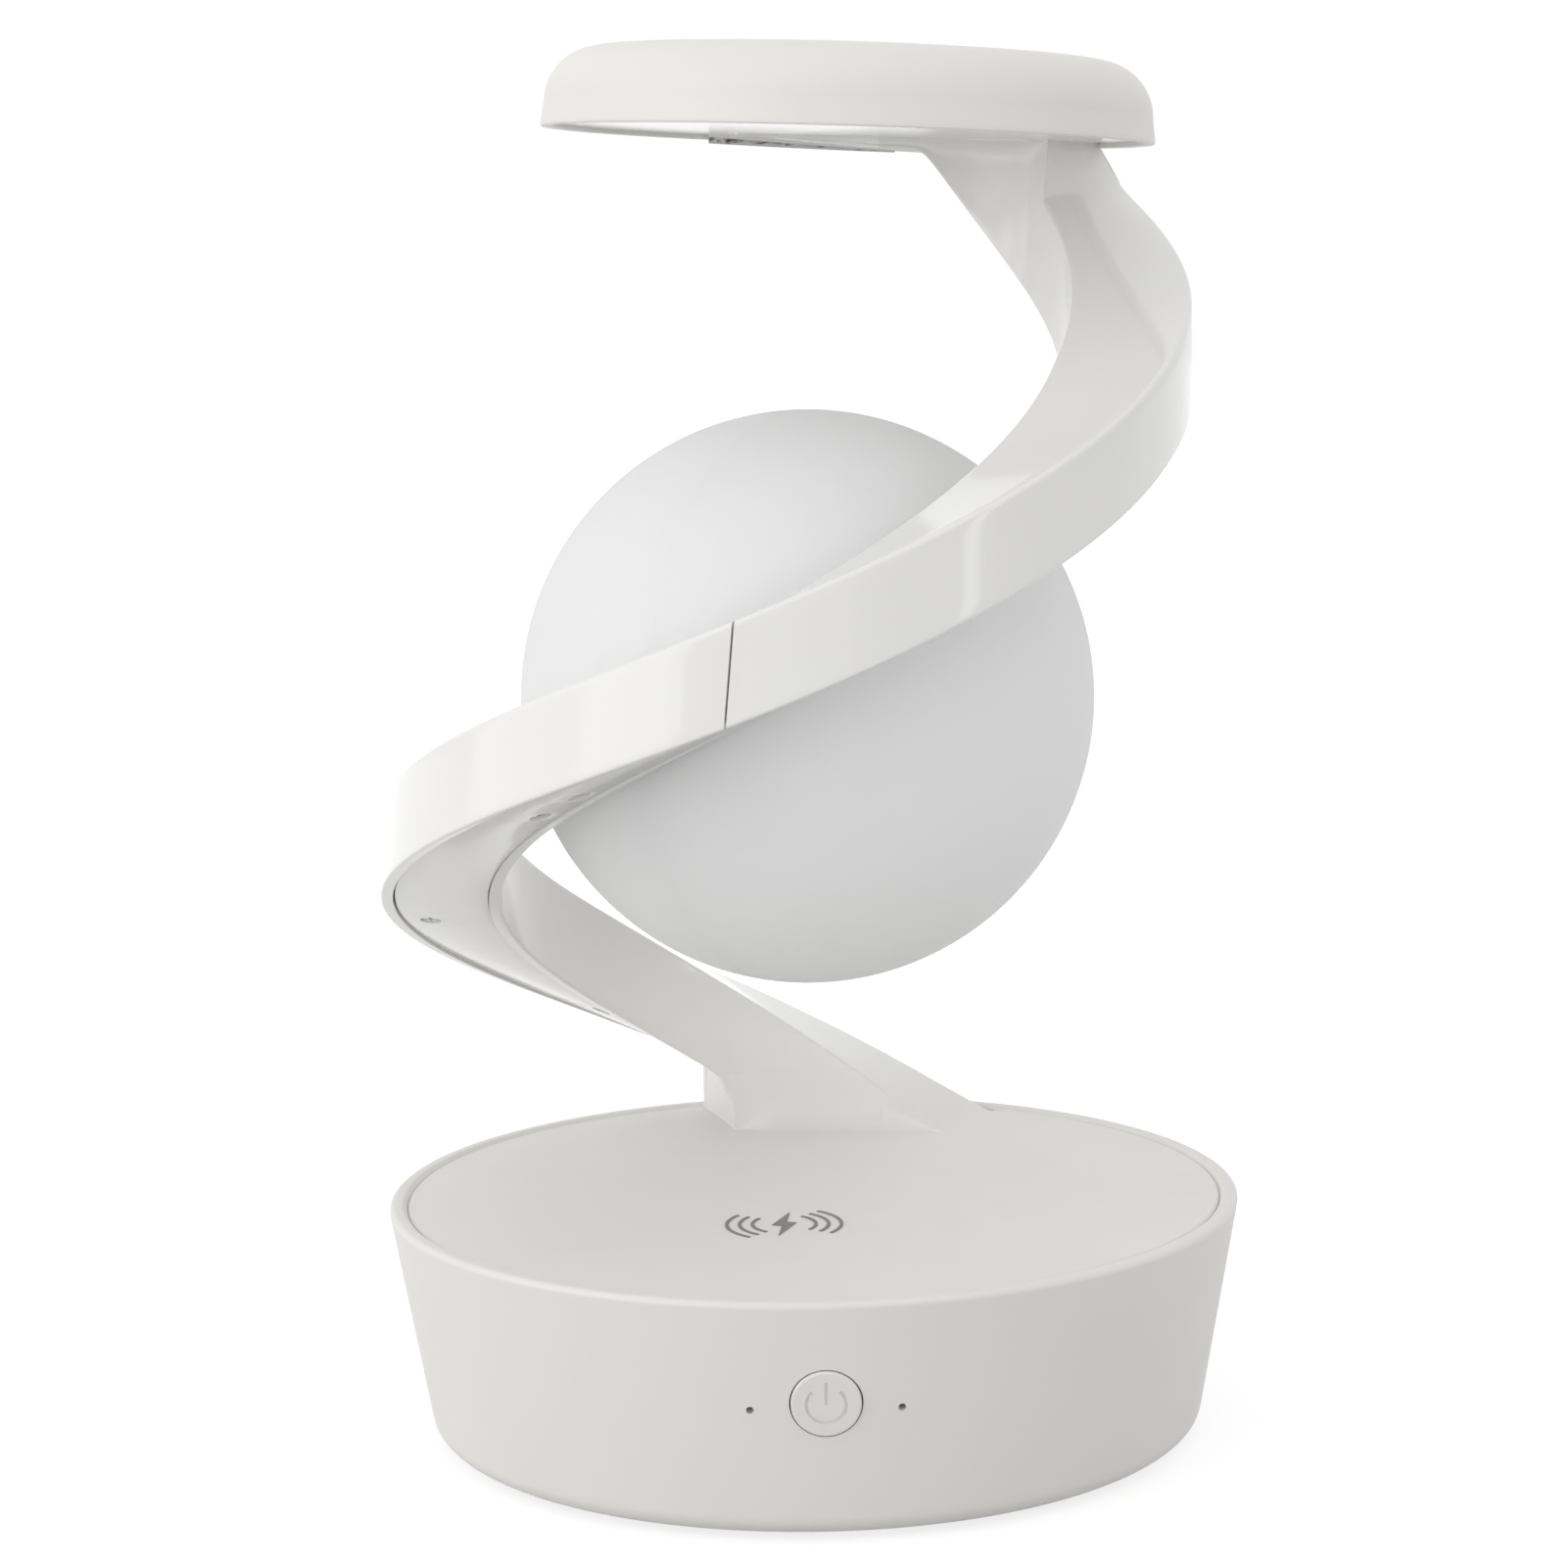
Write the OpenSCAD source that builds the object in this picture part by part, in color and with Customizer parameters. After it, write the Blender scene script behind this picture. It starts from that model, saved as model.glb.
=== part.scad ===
// Spiral table lamp: a round charging base, a spiral arm that climbs once round a globe, and a domed head.
// Millimetres. The origin is the middle of the foot ring on the table, +Z is up, the button faces -Y.
// An azimuth is counted in degrees from -Y towards +X.

/* [Base] */
// Outer radius of the base at its rim
base_rim_r = 75.2; // [72:0.1:85]
// Height of the rim above the table
base_rim_z = 42; // [38:0.5:55]
// Lean of the base wall away from the vertical, in degrees
base_taper = 10; // [4:0.5:11]
// Thickness of the base wall
base_wall = 2.4; // [2:0.1:3]
// Height of the shell's underside above the table
base_lift = 1; // [0.6:0.1:1.5]
// Radius of the rounded lower edge
base_edge_r = 4; // [2:0.5:6]
// Radius of the rounded rim edge
rim_edge_r = 1; // [0.5:0.1:1.5]
// Width of the shell's lip round the opening in its underside
bottom_lip_w = 4; // [3:0.5:6]
// Thickness of the shell's underside and of the bottom cover
bottom_t = 2.4; // [2:0.1:3]

/* [Plate] */
// Width of the rim round the charging plate
rim_w = 3.6; // [3.2:0.1:5]
// Thickness of the charging plate
plate_t = 2.6; // [2:0.1:4]
// Drop of the plate below the rim
plate_drop = 0.4; // [0:0.1:0.6]
// Gap between the plate's edge and the shell
plate_gap = 0.25; // [0.1:0.05:0.4]
// Bevel of the plate's upper edge
plate_bevel = 0.4; // [0.2:0.1:0.6]
// Width of the V groove round the plate
groove_w = 0.9; // [0.5:0.1:1.2]
// Width of the ledge that carries the plate
ledge_w = 4.2; // [3:0.1:5]
// Thickness of that ledge
ledge_t = 2.5; // [2:0.1:3]

/* [Spiral arm] */
// Turn of the spiral's front away from the button, in degrees
arm_turn = -0.9; // [-3:0.1:3]
// Wall of the arm's channel
arm_wall = 2.2; // [1.8:0.1:2.4]
// Draft of the arm's side walls, in degrees
arm_draft = 3; // [1:0.5:4]
// Sideways lean of the arm towards +X, in degrees
arm_lean = 3; // [0:0.5:3]
// Width of the arm's top on the left
arm_width_left = 19.2; // [18:0.1:20]
// Width of the arm's top on the right
arm_width_right = 20.5; // [19:0.1:21]
// Height of the band at the back, at both ends
band_back = 18.5; // [17:0.1:19]
// Height of the band round the front
band_front = 16.4; // [15:0.1:17]
// Azimuth of the root's tip
root_az = -205; // [-208:1:-200]
// Azimuth of the upright face over the plate
foot_az = -163; // [-165:1:-155]
// Azimuth of the upright face under the head
post_az = 112; // [108:1:118]
// Azimuth of the tip under the head
tip_az = 143; // [140:1:145]
// Height of the top edge over the plate at the root's tip
root_rise = 2.4; // [1.5:0.1:3]
// The same at the foot
foot_rise = 28.4; // [27:0.1:32]
// The same at the left back
back_rise = 47.4; // [45:0.1:50]
// The same at the left front
left_rise = 84.3; // [82:0.1:87]
// The same at the front
front_rise = 113; // [111:0.1:116]
// The same at the right front
right_rise = 143.9; // [141:0.1:146]
// Drop of the top edge below the head's rim at the upright face under the head
post_drop = 11.5; // [9:0.1:13]
// Height over the head's rim that the top edge would reach at the tip
tip_rise = 16.7; // [14:0.1:18]
// Distance of the root's tip from the plate's edge
root_inset = 1.2; // [0.8:0.1:3]
// Distance of the foot from the plate's edge
foot_inset = 0.3; // [0.2:0.1:2]
// Reach of the arm's inner edge beyond the globe's radius at the left back
back_gap = 4.5; // [2:0.1:6]
// The same at the left front
left_gap = 5.5; // [4:0.1:7]
// The same at the front
front_gap = 1.95; // [1.8:0.05:4]
// The same at the right front, over the globe
right_gap = -2.3; // [-3:0.1:2]
// Reach of the arm's outer edge beyond the head's flange at the upright face
post_over = 15.8; // [13:0.1:17]
// The same at the tip
tip_over = 4.7; // [3:0.1:6]
// Rise of the inner edge over the outer edge, round the left and the front
step_left = -1; // [-1.5:0.1:0]
// The same on the right
step_right = 0.3; // [0:0.1:1]
// The same at the upright face under the head
step_post = 3.2; // [1:0.1:4]
// Rise of the inner lower edge over the outer one at the tip
step_tip = 5; // [3:0.1:6]
// Depth of the tip under the head's flange
tip_t = 1.6; // [1.5:0.1:2.5]
// Azimuth of the butt seam between the two halves of the arm
seam_az = -8; // [-12:1:-4]
// Gap in that seam
seam_gap = 0.3; // [0.2:0.05:0.5]
// Thickness of the covers under the arm
cover_t = 2; // [1.6:0.1:2.2]
// Set-back of those covers from the walls' lower edges
cover_inset = 0.4; // [0.2:0.1:0.6]
// Gap between those covers and the walls
cover_gap = 0.35; // [0.3:0.05:0.5]
// Reach of the joint tongue on each side of the seam, in degrees
tongue_reach = 7; // [5:0.5:8]
// Play of the joint tongue in the channel
tongue_play = 0.4; // [0.3:0.05:0.5]
// Width of the joint tongue
tongue_w = 5.6; // [4:0.1:6]
// Radius of the wiring in the arm
harness_r = 1.3; // [1:0.1:1.5]
// Sideways sway of the wiring past the screw bosses
harness_sway = 3.4; // [3:0.1:4]
// Height of the wiring over the arm's lower edge
harness_lift = 7.5; // [6.5:0.1:8.5]

/* [Globe] */
// Outer radius of the globe
globe_r = 50; // [45:0.5:56]
// Height of the globe's middle over the middle of the arm's inner wall at the neck
neck_rise = 0.3; // [-0.5:0.1:1]
// Offset of the globe's middle towards +X
globe_x = 0.5; // [0:0.1:0.6]
// Wall of the globe
globe_wall = 2; // [1.6:0.1:2.4]
// Azimuth of the globe's neck and parting line
neck_az = -33; // [-34:0.5:-31]
// Radius of the threaded neck
neck_r = 4; // [3.5:0.1:4.2]
// Bore of the threaded neck
neck_bore_r = 2.3; // [2:0.1:2.5]
// Radius of the spacer between the globe and the arm
spacer_r = 5.5; // [5:0.1:6]
// Gap between that spacer and the arm, which curves towards it
spacer_gap = 1.2; // [1:0.1:1.5]
// Thickness of the neck nuts
neck_nut_t = 1.6; // [1.4:0.1:2]
// Width of the neck nuts across flats
neck_nut_af = 9.5; // [9:0.1:10]
// Clearance of the neck in its holes
neck_clear = 0.1; // [0.05:0.05:0.2]
// Radius of the lamp board in the globe
globe_board_r = 11; // [9:0.5:13]
// Distance of that board from the globe's wall
globe_board_gap = 26; // [22:1:30]
// Radius of the holder that carries that board
holder_r = 7; // [6:0.5:8]
// Number of light chips in the globe
globe_led_n = 8; // [4:1:9]

/* [Head] */
// Outer radius of the head's rim
head_rim_r = 52.6; // [50:0.1:58]
// Height of the head's rim over the plate, on the head's own axis
head_rise = 184.8; // [182:0.1:190]
// Offset of the head's axis towards +X
head_x = 9; // [8:0.1:12]
// Tilt of the head towards +X, in degrees
head_tilt = 2.8; // [0:0.1:5]
// Height of the cap's crown over its shoulder
cap_crown = 1.5; // [0.5:0.1:3]
// Height at which the crown meets the rounded edge
cap_shoulder_z = 13.6; // [13:0.1:20]
// Radius of the cap's rounded edge
cap_edge_r = 9.4; // [8:0.1:10]
// Inward slope of the cap's wall over its height
cap_draw = 0.6; // [0:0.1:1]
// Wall of the cap
cap_wall = 2; // [1.6:0.1:2.4]
// Gap between the edge of the flange under the head and the cap's wall
flange_gap = 0.8; // [0.7:0.1:2]
// Set-back of the flange's underside behind the cap's rim
flange_sink = 0.8; // [0.3:0.1:1.5]
// Thickness of the flange
flange_t = 2.5; // [2.2:0.1:3]
// Height of the ring on the flange that centres the cap
upstand_h = 2.8; // [2:0.1:3.5]
// Thickness of that ring
upstand_t = 2; // [1.6:0.1:2.4]
// Gap between that ring and the cap's ledge
cap_gap = 0.3; // [0.2:0.05:0.5]
// Width of the cap's ledge, which rests on the flange
cap_ledge_w = 3; // [2.5:0.1:4]
// Thickness of that ledge
cap_ledge_t = 1.6; // [1.2:0.1:2]
// Gap between that ring and the head's lamp board
head_board_gap = 4.2; // [3:0.1:6]
// Height of that board over the flange
head_board_lift = 4; // [3.5:0.1:6]
// Number of light chips on the head's outer circle
head_led_n = 12; // [6:2:14]

/* [Power button] */
// Drop of the button's middle below the rim
button_drop = 17.4; // [16:0.1:20]
// Radius of the hole in the wall
button_hole_r = 5.95; // [5.5:0.05:6.5]
// Gap round the button
button_gap = 0.35; // [0.25:0.05:0.45]
// How far the button's face stands proud
button_proud = 0.4; // [0.2:0.1:0.8]
// Travel of the button
button_travel = 0.5; // [0.3:0.05:0.6]
// Width of the button's retaining flange
button_flange_w = 1; // [0.8:0.1:1.2]
// Depth of the engraved sign
sign_depth = 0.3; // [0.2:0.05:0.5]
// Radius of the sign's ring
sign_r = 3.2; // [2.8:0.1:3.6]
// Stroke of the sign
sign_w = 0.5; // [0.4:0.05:0.8]
// Length of the sign's bar, from its middle up
sign_bar_l = 3.9; // [3.5:0.1:4.2]
// Sideways distance of the two pinholes from the button
pinhole_x = 12.2; // [11:0.1:13]
// Radius of the pinholes
pinhole_r = 0.65; // [0.5:0.05:0.8]
// Drop of the pinholes below the button's middle
pinhole_drop = 1.45; // [0:0.05:1.6]
// Sideways distance from a pinhole to the boss that carries the switch board beside it
switch_boss_gap = 5.3; // [5:0.1:7]
// Thickness of the button's retaining flange
button_flange_t = 1.2; // [1:0.1:1.5]
// Length of the button's stem
stem_l = 2.8; // [2:0.1:4]
// Radius of the button's stem
stem_r = 1.5; // [1.2:0.1:2]
// Gap between the stem and the switch plunger
stem_gap = 0.3; // [0.2:0.05:0.4]
// Height of the switch body
switch_h = 3.5; // [3.3:0.1:4.5]
// Width of the switch body
switch_w = 6; // [6:0.1:8]
// Radius of the switch plunger
plunger_r = 1.6; // [1.2:0.1:1.8]
// Length of the switch plunger
plunger_l = 2.2; // [2:0.1:2.4]
// How far the switch plunger stands out of the switch body when it is pressed in
plunger_room = 0.7; // [0.5:0.1:1]
// Radius of the switch dome
dome_r = 2.2; // [2:0.1:2.5]

/* [Charging] */
// Distance of the charging coil's middle in front of the axis
coil_y = -24; // [-26:0.5:-20]
// Outer radius of the coil
coil_r = 22; // [20:0.5:24]
// Inner radius of the coil
coil_hole_r = 10; // [8:0.5:12]
// Thickness of the coil
coil_t = 1.8; // [1.2:0.1:2.2]
// Thickness of the magnetic shield
shield_t = 1; // [0.8:0.1:1.4]
// Thickness of the coil tray
tray_t = 1.6; // [1.4:0.1:2]
// Margin of the coil tray round the coil
tray_margin = 1.2; // [0.8:0.1:2]
// Air between the coil and its neighbours
coil_air = 0.1; // [0.05:0.05:0.2]
// Offset of the charging sign from the axis towards +X
mark_x = -5.2; // [-8:0.1:0]
// Thickness of the printed sign
mark_t = 0.15; // [0.1:0.05:0.2]
// Radius of the sign's innermost arcs
mark_r = 6.8; // [6:0.1:8]
// Step from one arc of the sign to the next
mark_step = 2.2; // [1.8:0.05:2.5]
// Stroke of the sign's arcs
mark_w = 0.6; // [0.4:0.1:1.2]
// Height of the sign's bolt
bolt_h = 15.6; // [12:0.2:17]
// Width of the sign's bolt
bolt_w = 4.2; // [3:0.1:5]

/* [Boards and fasteners] */
// Width of the main board
board_w = 44; // [40:1:46]
// Depth of the main board
board_d = 50; // [40:1:52]
// Reach of the power inlet beyond the board's rear edge
usb_over = 5; // [4:0.5:6]
// Width of the power inlet
usb_w = 9; // [8.9:0.05:9.2]
// Height of the power inlet
usb_h = 3.3; // [3.2:0.05:3.4]
// Depth of the power inlet
usb_d = 7.4; // [7:0.1:9]
// Gap round the power inlet in the shell
usb_gap = 0.3; // [0.2:0.05:0.5]
// Thickness of every board
board_t = 1.6; // [1.2:0.1:1.6]
// Height of the main board above the table
board_z = 12; // [10:0.5:14]
// Radius of a small screw's shank
screw_r = 1; // [0.9:0.05:1.1]
// Length of a small screw under its head
screw_l = 6; // [5:0.5:7]
// Radius of a small screw's head
screw_head_r = 1.7; // [1.6:0.05:1.9]
// Thickness of a small screw's head
screw_head_t = 0.8; // [0.6:0.1:1.4]
// Radius of a boss for a small screw
boss_r = 2.7; // [2.5:0.1:3]
// Radius of a case screw's shank
case_screw_r = 1.5; // [1.4:0.05:1.6]
// Length of a case screw under its head
case_screw_l = 7; // [6:0.5:8]
// Radius of a case screw's head
case_head_r = 2.6; // [2.4:0.1:2.8]
// Thickness of a case screw's head
case_head_t = 1.2; // [1:0.1:1.3]
// Clearance round a screw in its hole
screw_clear = 0.05; // [0.02:0.01:0.1]
// Number of case screws on each circle
case_screw_n = 4; // [3:1:4]
// Distance of the bottom cover's screws from its edge
cover_screw_inset = 6; // [5:0.5:8]
// Distance of the plate's screws from the ledge
plate_screw_inset = 3.6; // [3:0.1:5]
// Radius of a lug for a case screw
lug_r = 4; // [3.5:0.1:5]
// Thickness of the lugs under the plate
lug_t = 3; // [2.5:0.1:4]
// Distance of the foot ring from the bottom cover's screws
foot_ring_gap = 6; // [4:0.5:8]
// Width of the foot ring
foot_ring_w = 8; // [5:0.5:12]
// Play of the foot ring in its groove
foot_play = 0.1; // [0.05:0.05:0.2]
// Depth of the groove that holds the foot ring
foot_seat = 0.8; // [0.5:0.1:1]

/* [Hidden] */
$fn = 64;
eps = 0.01;
white = [0.93, 0.92, 0.90];
gloss_white = [0.95, 0.95, 0.94];
opal = [0.90, 0.92, 0.94];
board_green = [0.12, 0.35, 0.22];
steel = [0.70, 0.71, 0.73];
copper = [0.72, 0.42, 0.22];
dark = [0.20, 0.20, 0.21];
light_yellow = [1, 0.9, 0.5];
hole_clear = 0.2;
plate_r = base_rim_r - rim_w;
seat_r = plate_r + plate_gap;
plate_top_z = base_rim_z - plate_drop;
plate_low_z = plate_top_z - plate_t;
arm_sink_z = plate_low_z + plate_t / 4;
globe_in_r = globe_r - globe_wall;
head_rim_z = plate_top_z + head_rise;
flange_r = head_rim_r - cap_wall - flange_gap;
flange_top = flange_sink + flange_t;
// Clear of the upright face over the plate, and short of the tip under the head
cover_az = [foot_az + 2.5, tip_az - 8];
// Stations along the arm
AZ = [root_az, foot_az, -130, -60, 0, 60, post_az, tip_az];
RISE = [root_rise, foot_rise, back_rise, left_rise, front_rise, right_rise];
TOP = concat([for (h = RISE) plate_top_z + h], [head_rim_z - post_drop, head_rim_z + tip_rise]);
GAP = [back_gap, left_gap, front_gap, right_gap];
// Azimuth to both sides at which the arm's width has its end value
width_az = 110;
RADIUS = concat([plate_r - root_inset, plate_r - foot_inset],
    [for (i = [0 : 3]) globe_r + arm_width(AZ[i + 2]) + GAP[i]], [flange_r + post_over, flange_r + tip_over]);
BAND = [band_back, band_back, band_back, band_front, band_front, band_front, band_back, band_back];
STEP = [step_left, step_left, step_left / 2, step_left, step_left, step_right, step_post, step_tip];
// Underside screws: azimuth, and true for the inner side of the channel
LOWER_SCREWS = [[-139, true], [-96, false], [-48, true], [-39.4, true]];
UPPER_SCREWS = [[16, false], [60, true], [100, false]];

// Curves along the arm

function mean_slope(v, i, k) = (v[k] - v[i]) / (AZ[k] - AZ[i]);
function slope_at(v, i) = mean_slope(v, max(i - 1, 0), min(i + 1, len(AZ) - 1));
function span_of(a, i = 0) = (i >= len(AZ) - 2 || a < AZ[i + 1]) ? i : span_of(a, i + 1);
function along(v, a) =
    let (i = span_of(a), w = AZ[i + 1] - AZ[i], t = (a - AZ[i]) / w)
    (2 * t ^ 3 - 3 * t ^ 2 + 1) * v[i] + (t ^ 3 - 2 * t ^ 2 + t) * w * slope_at(v, i)
    + (3 * t ^ 2 - 2 * t ^ 3) * v[i + 1] + (t ^ 3 - t ^ 2) * w * slope_at(v, i + 1);
function ease(a, b, x) = let (t = min(1, max(0, (x - a) / (b - a)))) t * t * (3 - 2 * t);
function arm_width(a) = arm_width_left + (arm_width_right - arm_width_left) * ease(-width_az, width_az, a);
function place(a, p) = [p[0] * sin(a), -p[0] * cos(a), p[1]];
function stations(a, b, step = 4) = let (n = ceil((b - a) / step)) [for (i = [0 : n]) a + (b - a) * i / n];

// The flange's underside leans with the head
function flange_z(a, r) =
    head_rim_z - (r * sin(a) - head_x) * tan(head_tilt) + flange_sink / cos(head_tilt);
function flange_reach(a) = head_x * sin(a) + sqrt(flange_r ^ 2 - (head_x * cos(a)) ^ 2) - tip_inset;
tip_inset = 0.8;
// Share of its height at which the outer wall starts to lean in towards the flange
post_knee = 0.63;

// Corners of the arm's section at one azimuth: lower, middle and upper outer, upper and lower inner
function corners(a, foot = false, head = false) =
    let (h = along(BAND, a), zt = along(TOP, a), d = along(STEP, a), ro = along(RADIUS, a))
    let (rt = ro - h * tan(arm_draft - arm_lean * sin(a)), ri = rt - arm_width(a))
    let (rl = ri - h * tan(arm_draft + arm_lean * sin(a)), reach = min(rt, flange_reach(a)))
    let (low_o = head ? flange_z(a, ro) - tip_t : zt, low_i = head ? flange_z(a, rl) - tip_t : zt + d)
    let (zo = foot ? arm_sink_z : min(zt - h, low_o), zi = foot ? arm_sink_z : min(zt - h + d, low_i))
    let (top_o = head ? flange_z(a, reach) + flange_t / 3 : zt)
    let (top_i = head ? flange_z(a, ri) + flange_t / 3 : zt + d)
    let (mid = head ? [rt, zo + post_knee * (top_o - zo)] : [(ro + rt) / 2, (zo + top_o) / 2])
    [[ro, zo], mid, [head ? reach : rt, top_o], [ri, top_i], [rl, zi]];
function channel(a, foot = false, head = false) =
    let (c = corners(a, foot, head), w = arm_wall)
    [for (p = concat(c, [c[4] + [w, 0], c[3] + [w, -w], c[2] + [-w, -w], c[0] + [-w, 0]])) place(a, p)];
// The covers turn in to the post's outer wall a little before it
cover_ease = 4;
// A band of the channel's underside, from one height over the lower edges to another, clear of the walls
function strip(a, low, high, play) =
    let (c = corners(a, false, a > post_az - cover_ease), zo = c[0][1], zi = c[4][1])
    let (lean_o = (c[0][0] - c[2][0]) * high / (c[2][1] - zo - arm_wall))
    let (lean_i = (c[3][0] - c[4][0]) * high / (c[3][1] - zi - arm_wall))
    let (ro = c[0][0] - arm_wall - lean_o - play, ri = c[4][0] + arm_wall + lean_i + play)
    [for (p = [[ro, zo + low], [ro, zo + high], [ri, zi + high], [ri, zi + low]]) place(a, p)];
function channel_mid(a) = let (c = corners(a)) (c[0][0] + c[4][0]) / 2;
function arm_pitch(a, r) = atan((along(TOP, a + 1) - along(TOP, a - 1)) / (2 * r * PI / 180));
neck_wall = corners(neck_az);
globe_z = (neck_wall[3][1] + neck_wall[4][1]) / 2 + neck_rise;
button_z = base_rim_z - button_drop;

// Triangles that close a channel's end
CHANNEL_END = [[0, 1, 8], [1, 7, 8], [1, 2, 7], [2, 3, 7], [3, 6, 7], [3, 4, 6], [4, 5, 6]];

// Solid through a row of rings of points
module sweep(rings, end = [[0, 1, 2, 3]]) {
    m = len(rings[0]);
    n = len(rings);
    sides = [for (i = [0 : n - 2], j = [0 : m - 1]) let (a = i * m + j, b = i * m + (j + 1) % m)
        each [[a, b + m, a + m], [a, b, b + m]]];
    near_end = [for (f = end) [for (k = [len(f) - 1 : -1 : 0]) f[k]]];
    far_end = [for (f = end) [for (k = f) (n - 1) * m + k]];
    polyhedron([for (r = rings) each r], concat(sides, near_end, far_end), convexity = 10);
}

// Frames of the pieces that lean

module arm_frame() rotate([0, 0, arm_turn]) children();
module head_frame() arm_frame() translate([head_x, 0, head_rim_z]) rotate([0, head_tilt, 0]) children();
module neck_frame() arm_frame()
    translate([globe_x, 0, globe_z]) rotate([0, 0, neck_az]) rotate([90, 0, 0]) children();
module button_frame() translate([0, -wall_r(button_z), button_z]) rotate([90 + base_taper, 0, 0]) children();
// On the underside of the arm, square to it, on the cover's inner face
boss_inner_gap = 1.6;
boss_outer_gap = 2.4;
module underside_frame(s) {
    c = corners(s[0]);
    r = s[1] ? c[4][0] + arm_wall + boss_r + boss_inner_gap : c[0][0] - arm_wall - boss_r - boss_outer_gap;
    slope = (c[0][1] - c[4][1]) / (c[0][0] - c[4][0]);
    z = c[4][1] + slope * (r - c[4][0]) + cover_inset + cover_t;
    translate(place(s[0], [r, z])) rotate([-atan(slope), -arm_pitch(s[0], r), s[0]]) children();
}
module around(n, r, first = 45) for (i = [0 : n - 1])
    rotate([0, 0, first + i * 360 / n]) translate([r, 0, 0]) children();

// Fasteners, with the head's seat at the origin and the shank along +Z

module screw(r, l, head_r, head_t) {
    difference() {
        union() {
            translate([0, 0, -head_t]) cylinder(h = head_t, r = head_r);
            translate([0, 0, -eps]) cylinder(h = l, r = r);
        }
        for (t = [0, 90]) rotate([0, 0, t]) translate([-head_r * 0.6, -head_r * 0.12, -head_t - eps])
            cube([head_r * 1.2, head_r * 0.24, head_t / 2]);
    }
}
module small_screw() screw(screw_r, screw_l, screw_head_r, screw_head_t);
module case_screw() screw(case_screw_r, case_screw_l, case_head_r, case_head_t);
// Hole that takes a screw's thread, a little deeper than the screw
tip_room = 0.3;
module small_pilot() translate([0, 0, -eps]) cylinder(h = screw_l + tip_room, r = screw_r + screw_clear);
module case_pilot() translate([0, 0, -eps])
    cylinder(h = case_screw_l + tip_room, r = case_screw_r + screw_clear);
// Holes that a screw's shank and head pass through
module small_hole(l) cylinder(h = l, r = screw_r + hole_clear);
module case_hole(l) cylinder(h = l, r = case_screw_r + hole_clear);

// Base

function wall_r(z) = base_rim_r - (base_rim_z - z) * tan(base_taper);
function arc(c, r, a, b, n) = [for (i = [0 : n]) let (t = a + (b - a) * i / n) c + r * [cos(t), sin(t)]];
base_in_z = base_lift + bottom_t;
base_edge_c = [wall_r(base_lift + base_edge_r) - base_edge_r / cos(base_taper), base_lift + base_edge_r];
base_opening_r = base_edge_c[0] - bottom_lip_w;
cover_screw_at = base_opening_r - cover_screw_inset;
ledge_r = seat_r - ledge_w;
plate_screw_at = ledge_r - plate_screw_inset;
lug_z = plate_low_z - ledge_t;
cover_lug_h = case_screw_l + 1;
wall_n = base_wall / cos(base_taper);
base_fillet = 3;
ledge_fillet = 4;

module base_profile() {
    rim_c = [wall_r(base_rim_z - rim_edge_r) - rim_edge_r / cos(base_taper), base_rim_z - rim_edge_r];
    polygon(concat([[base_opening_r, base_lift]], arc(base_edge_c, base_edge_r, -90, -base_taper, 8),
        arc(rim_c, rim_edge_r, -base_taper, 90, 6),
        [[seat_r + groove_w, base_rim_z], [seat_r, base_rim_z - groove_w], [seat_r, plate_low_z],
        [ledge_r, plate_low_z], [ledge_r, lug_z],
        [wall_r(lug_z - ledge_fillet) - wall_n, lug_z - ledge_fillet],
        [wall_r(base_in_z + base_fillet) - wall_n, base_in_z + base_fillet],
        [wall_r(base_in_z) - wall_n - base_fillet, base_in_z], [base_opening_r, base_in_z]]));
}
usb_z = board_z + board_t + usb_h / 2;
usb_front = wall_r(usb_z - usb_h / 2) - wall_n - usb_gap;
usb_recess = 1.2;
usb_recess_margin = 2;
// Slot with round ends, along +Y
module slot_y(w, h, d) rotate([-90, 0, 0]) linear_extrude(d) union() {
    square([w - h, h], center = true);
    for (s = [-1, 1]) translate([s * (w - h) / 2, 0]) circle(h / 2);
}
// Lug on a case screw's circle, with a rib out to the wall
module lug(at, h, reach) {
    translate([at, 0, 0]) cylinder(h = h, r = lug_r);
    translate([at, -lug_r / 2, 0]) cube([reach - at, lug_r, h]);
}
module base_shell() color(white) difference() {
    union() {
        rotate_extrude() base_profile();
        around(case_screw_n, 0) translate([0, 0, lug_z - lug_t])
            lug(plate_screw_at, lug_t, ledge_r + lug_r / 4);
        around(case_screw_n, 0) translate([0, 0, base_in_z])
            lug(cover_screw_at, cover_lug_h, wall_r(base_in_z) - wall_n / 2);
        button_frame() switch_bosses() cylinder(h = -switch_board_top - boss_sag, r = boss_r);
    }
    around(case_screw_n, plate_screw_at) translate([0, 0, lug_z - lug_t - eps]) case_hole(lug_t + ledge_t);
    around(case_screw_n, cover_screw_at) translate([0, 0, base_in_z]) case_pilot();
    button_frame() wall_hole(button_hole_r);
    button_frame() for (s = [-1, 1]) translate([s * pinhole_x, -pinhole_drop, 0]) wall_hole(pinhole_r);
    button_frame() switch_bosses() translate([0, 0, -eps]) cylinder(h = screw_l, r = screw_r + screw_clear);
    translate([0, usb_front - usb_gap, usb_z])
        slot_y(usb_w + 2 * usb_gap, usb_h + 2 * usb_gap, base_rim_r - usb_front);
    translate([0, wall_r(usb_z) - usb_recess, usb_z])
        slot_y(usb_w + 2 * usb_recess_margin, usb_h + 2 * usb_recess_margin, base_rim_r - usb_front);
}
module wall_hole(r) translate([0, 0, -3 * base_wall]) cylinder(h = 5 * base_wall, r = r);
module switch_bosses() for (s = [-1, 1]) translate([s * switch_boss_x, 0, switch_board_top]) children();
board_rear = usb_front - usb_over;
standoff_r = 3;
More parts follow.
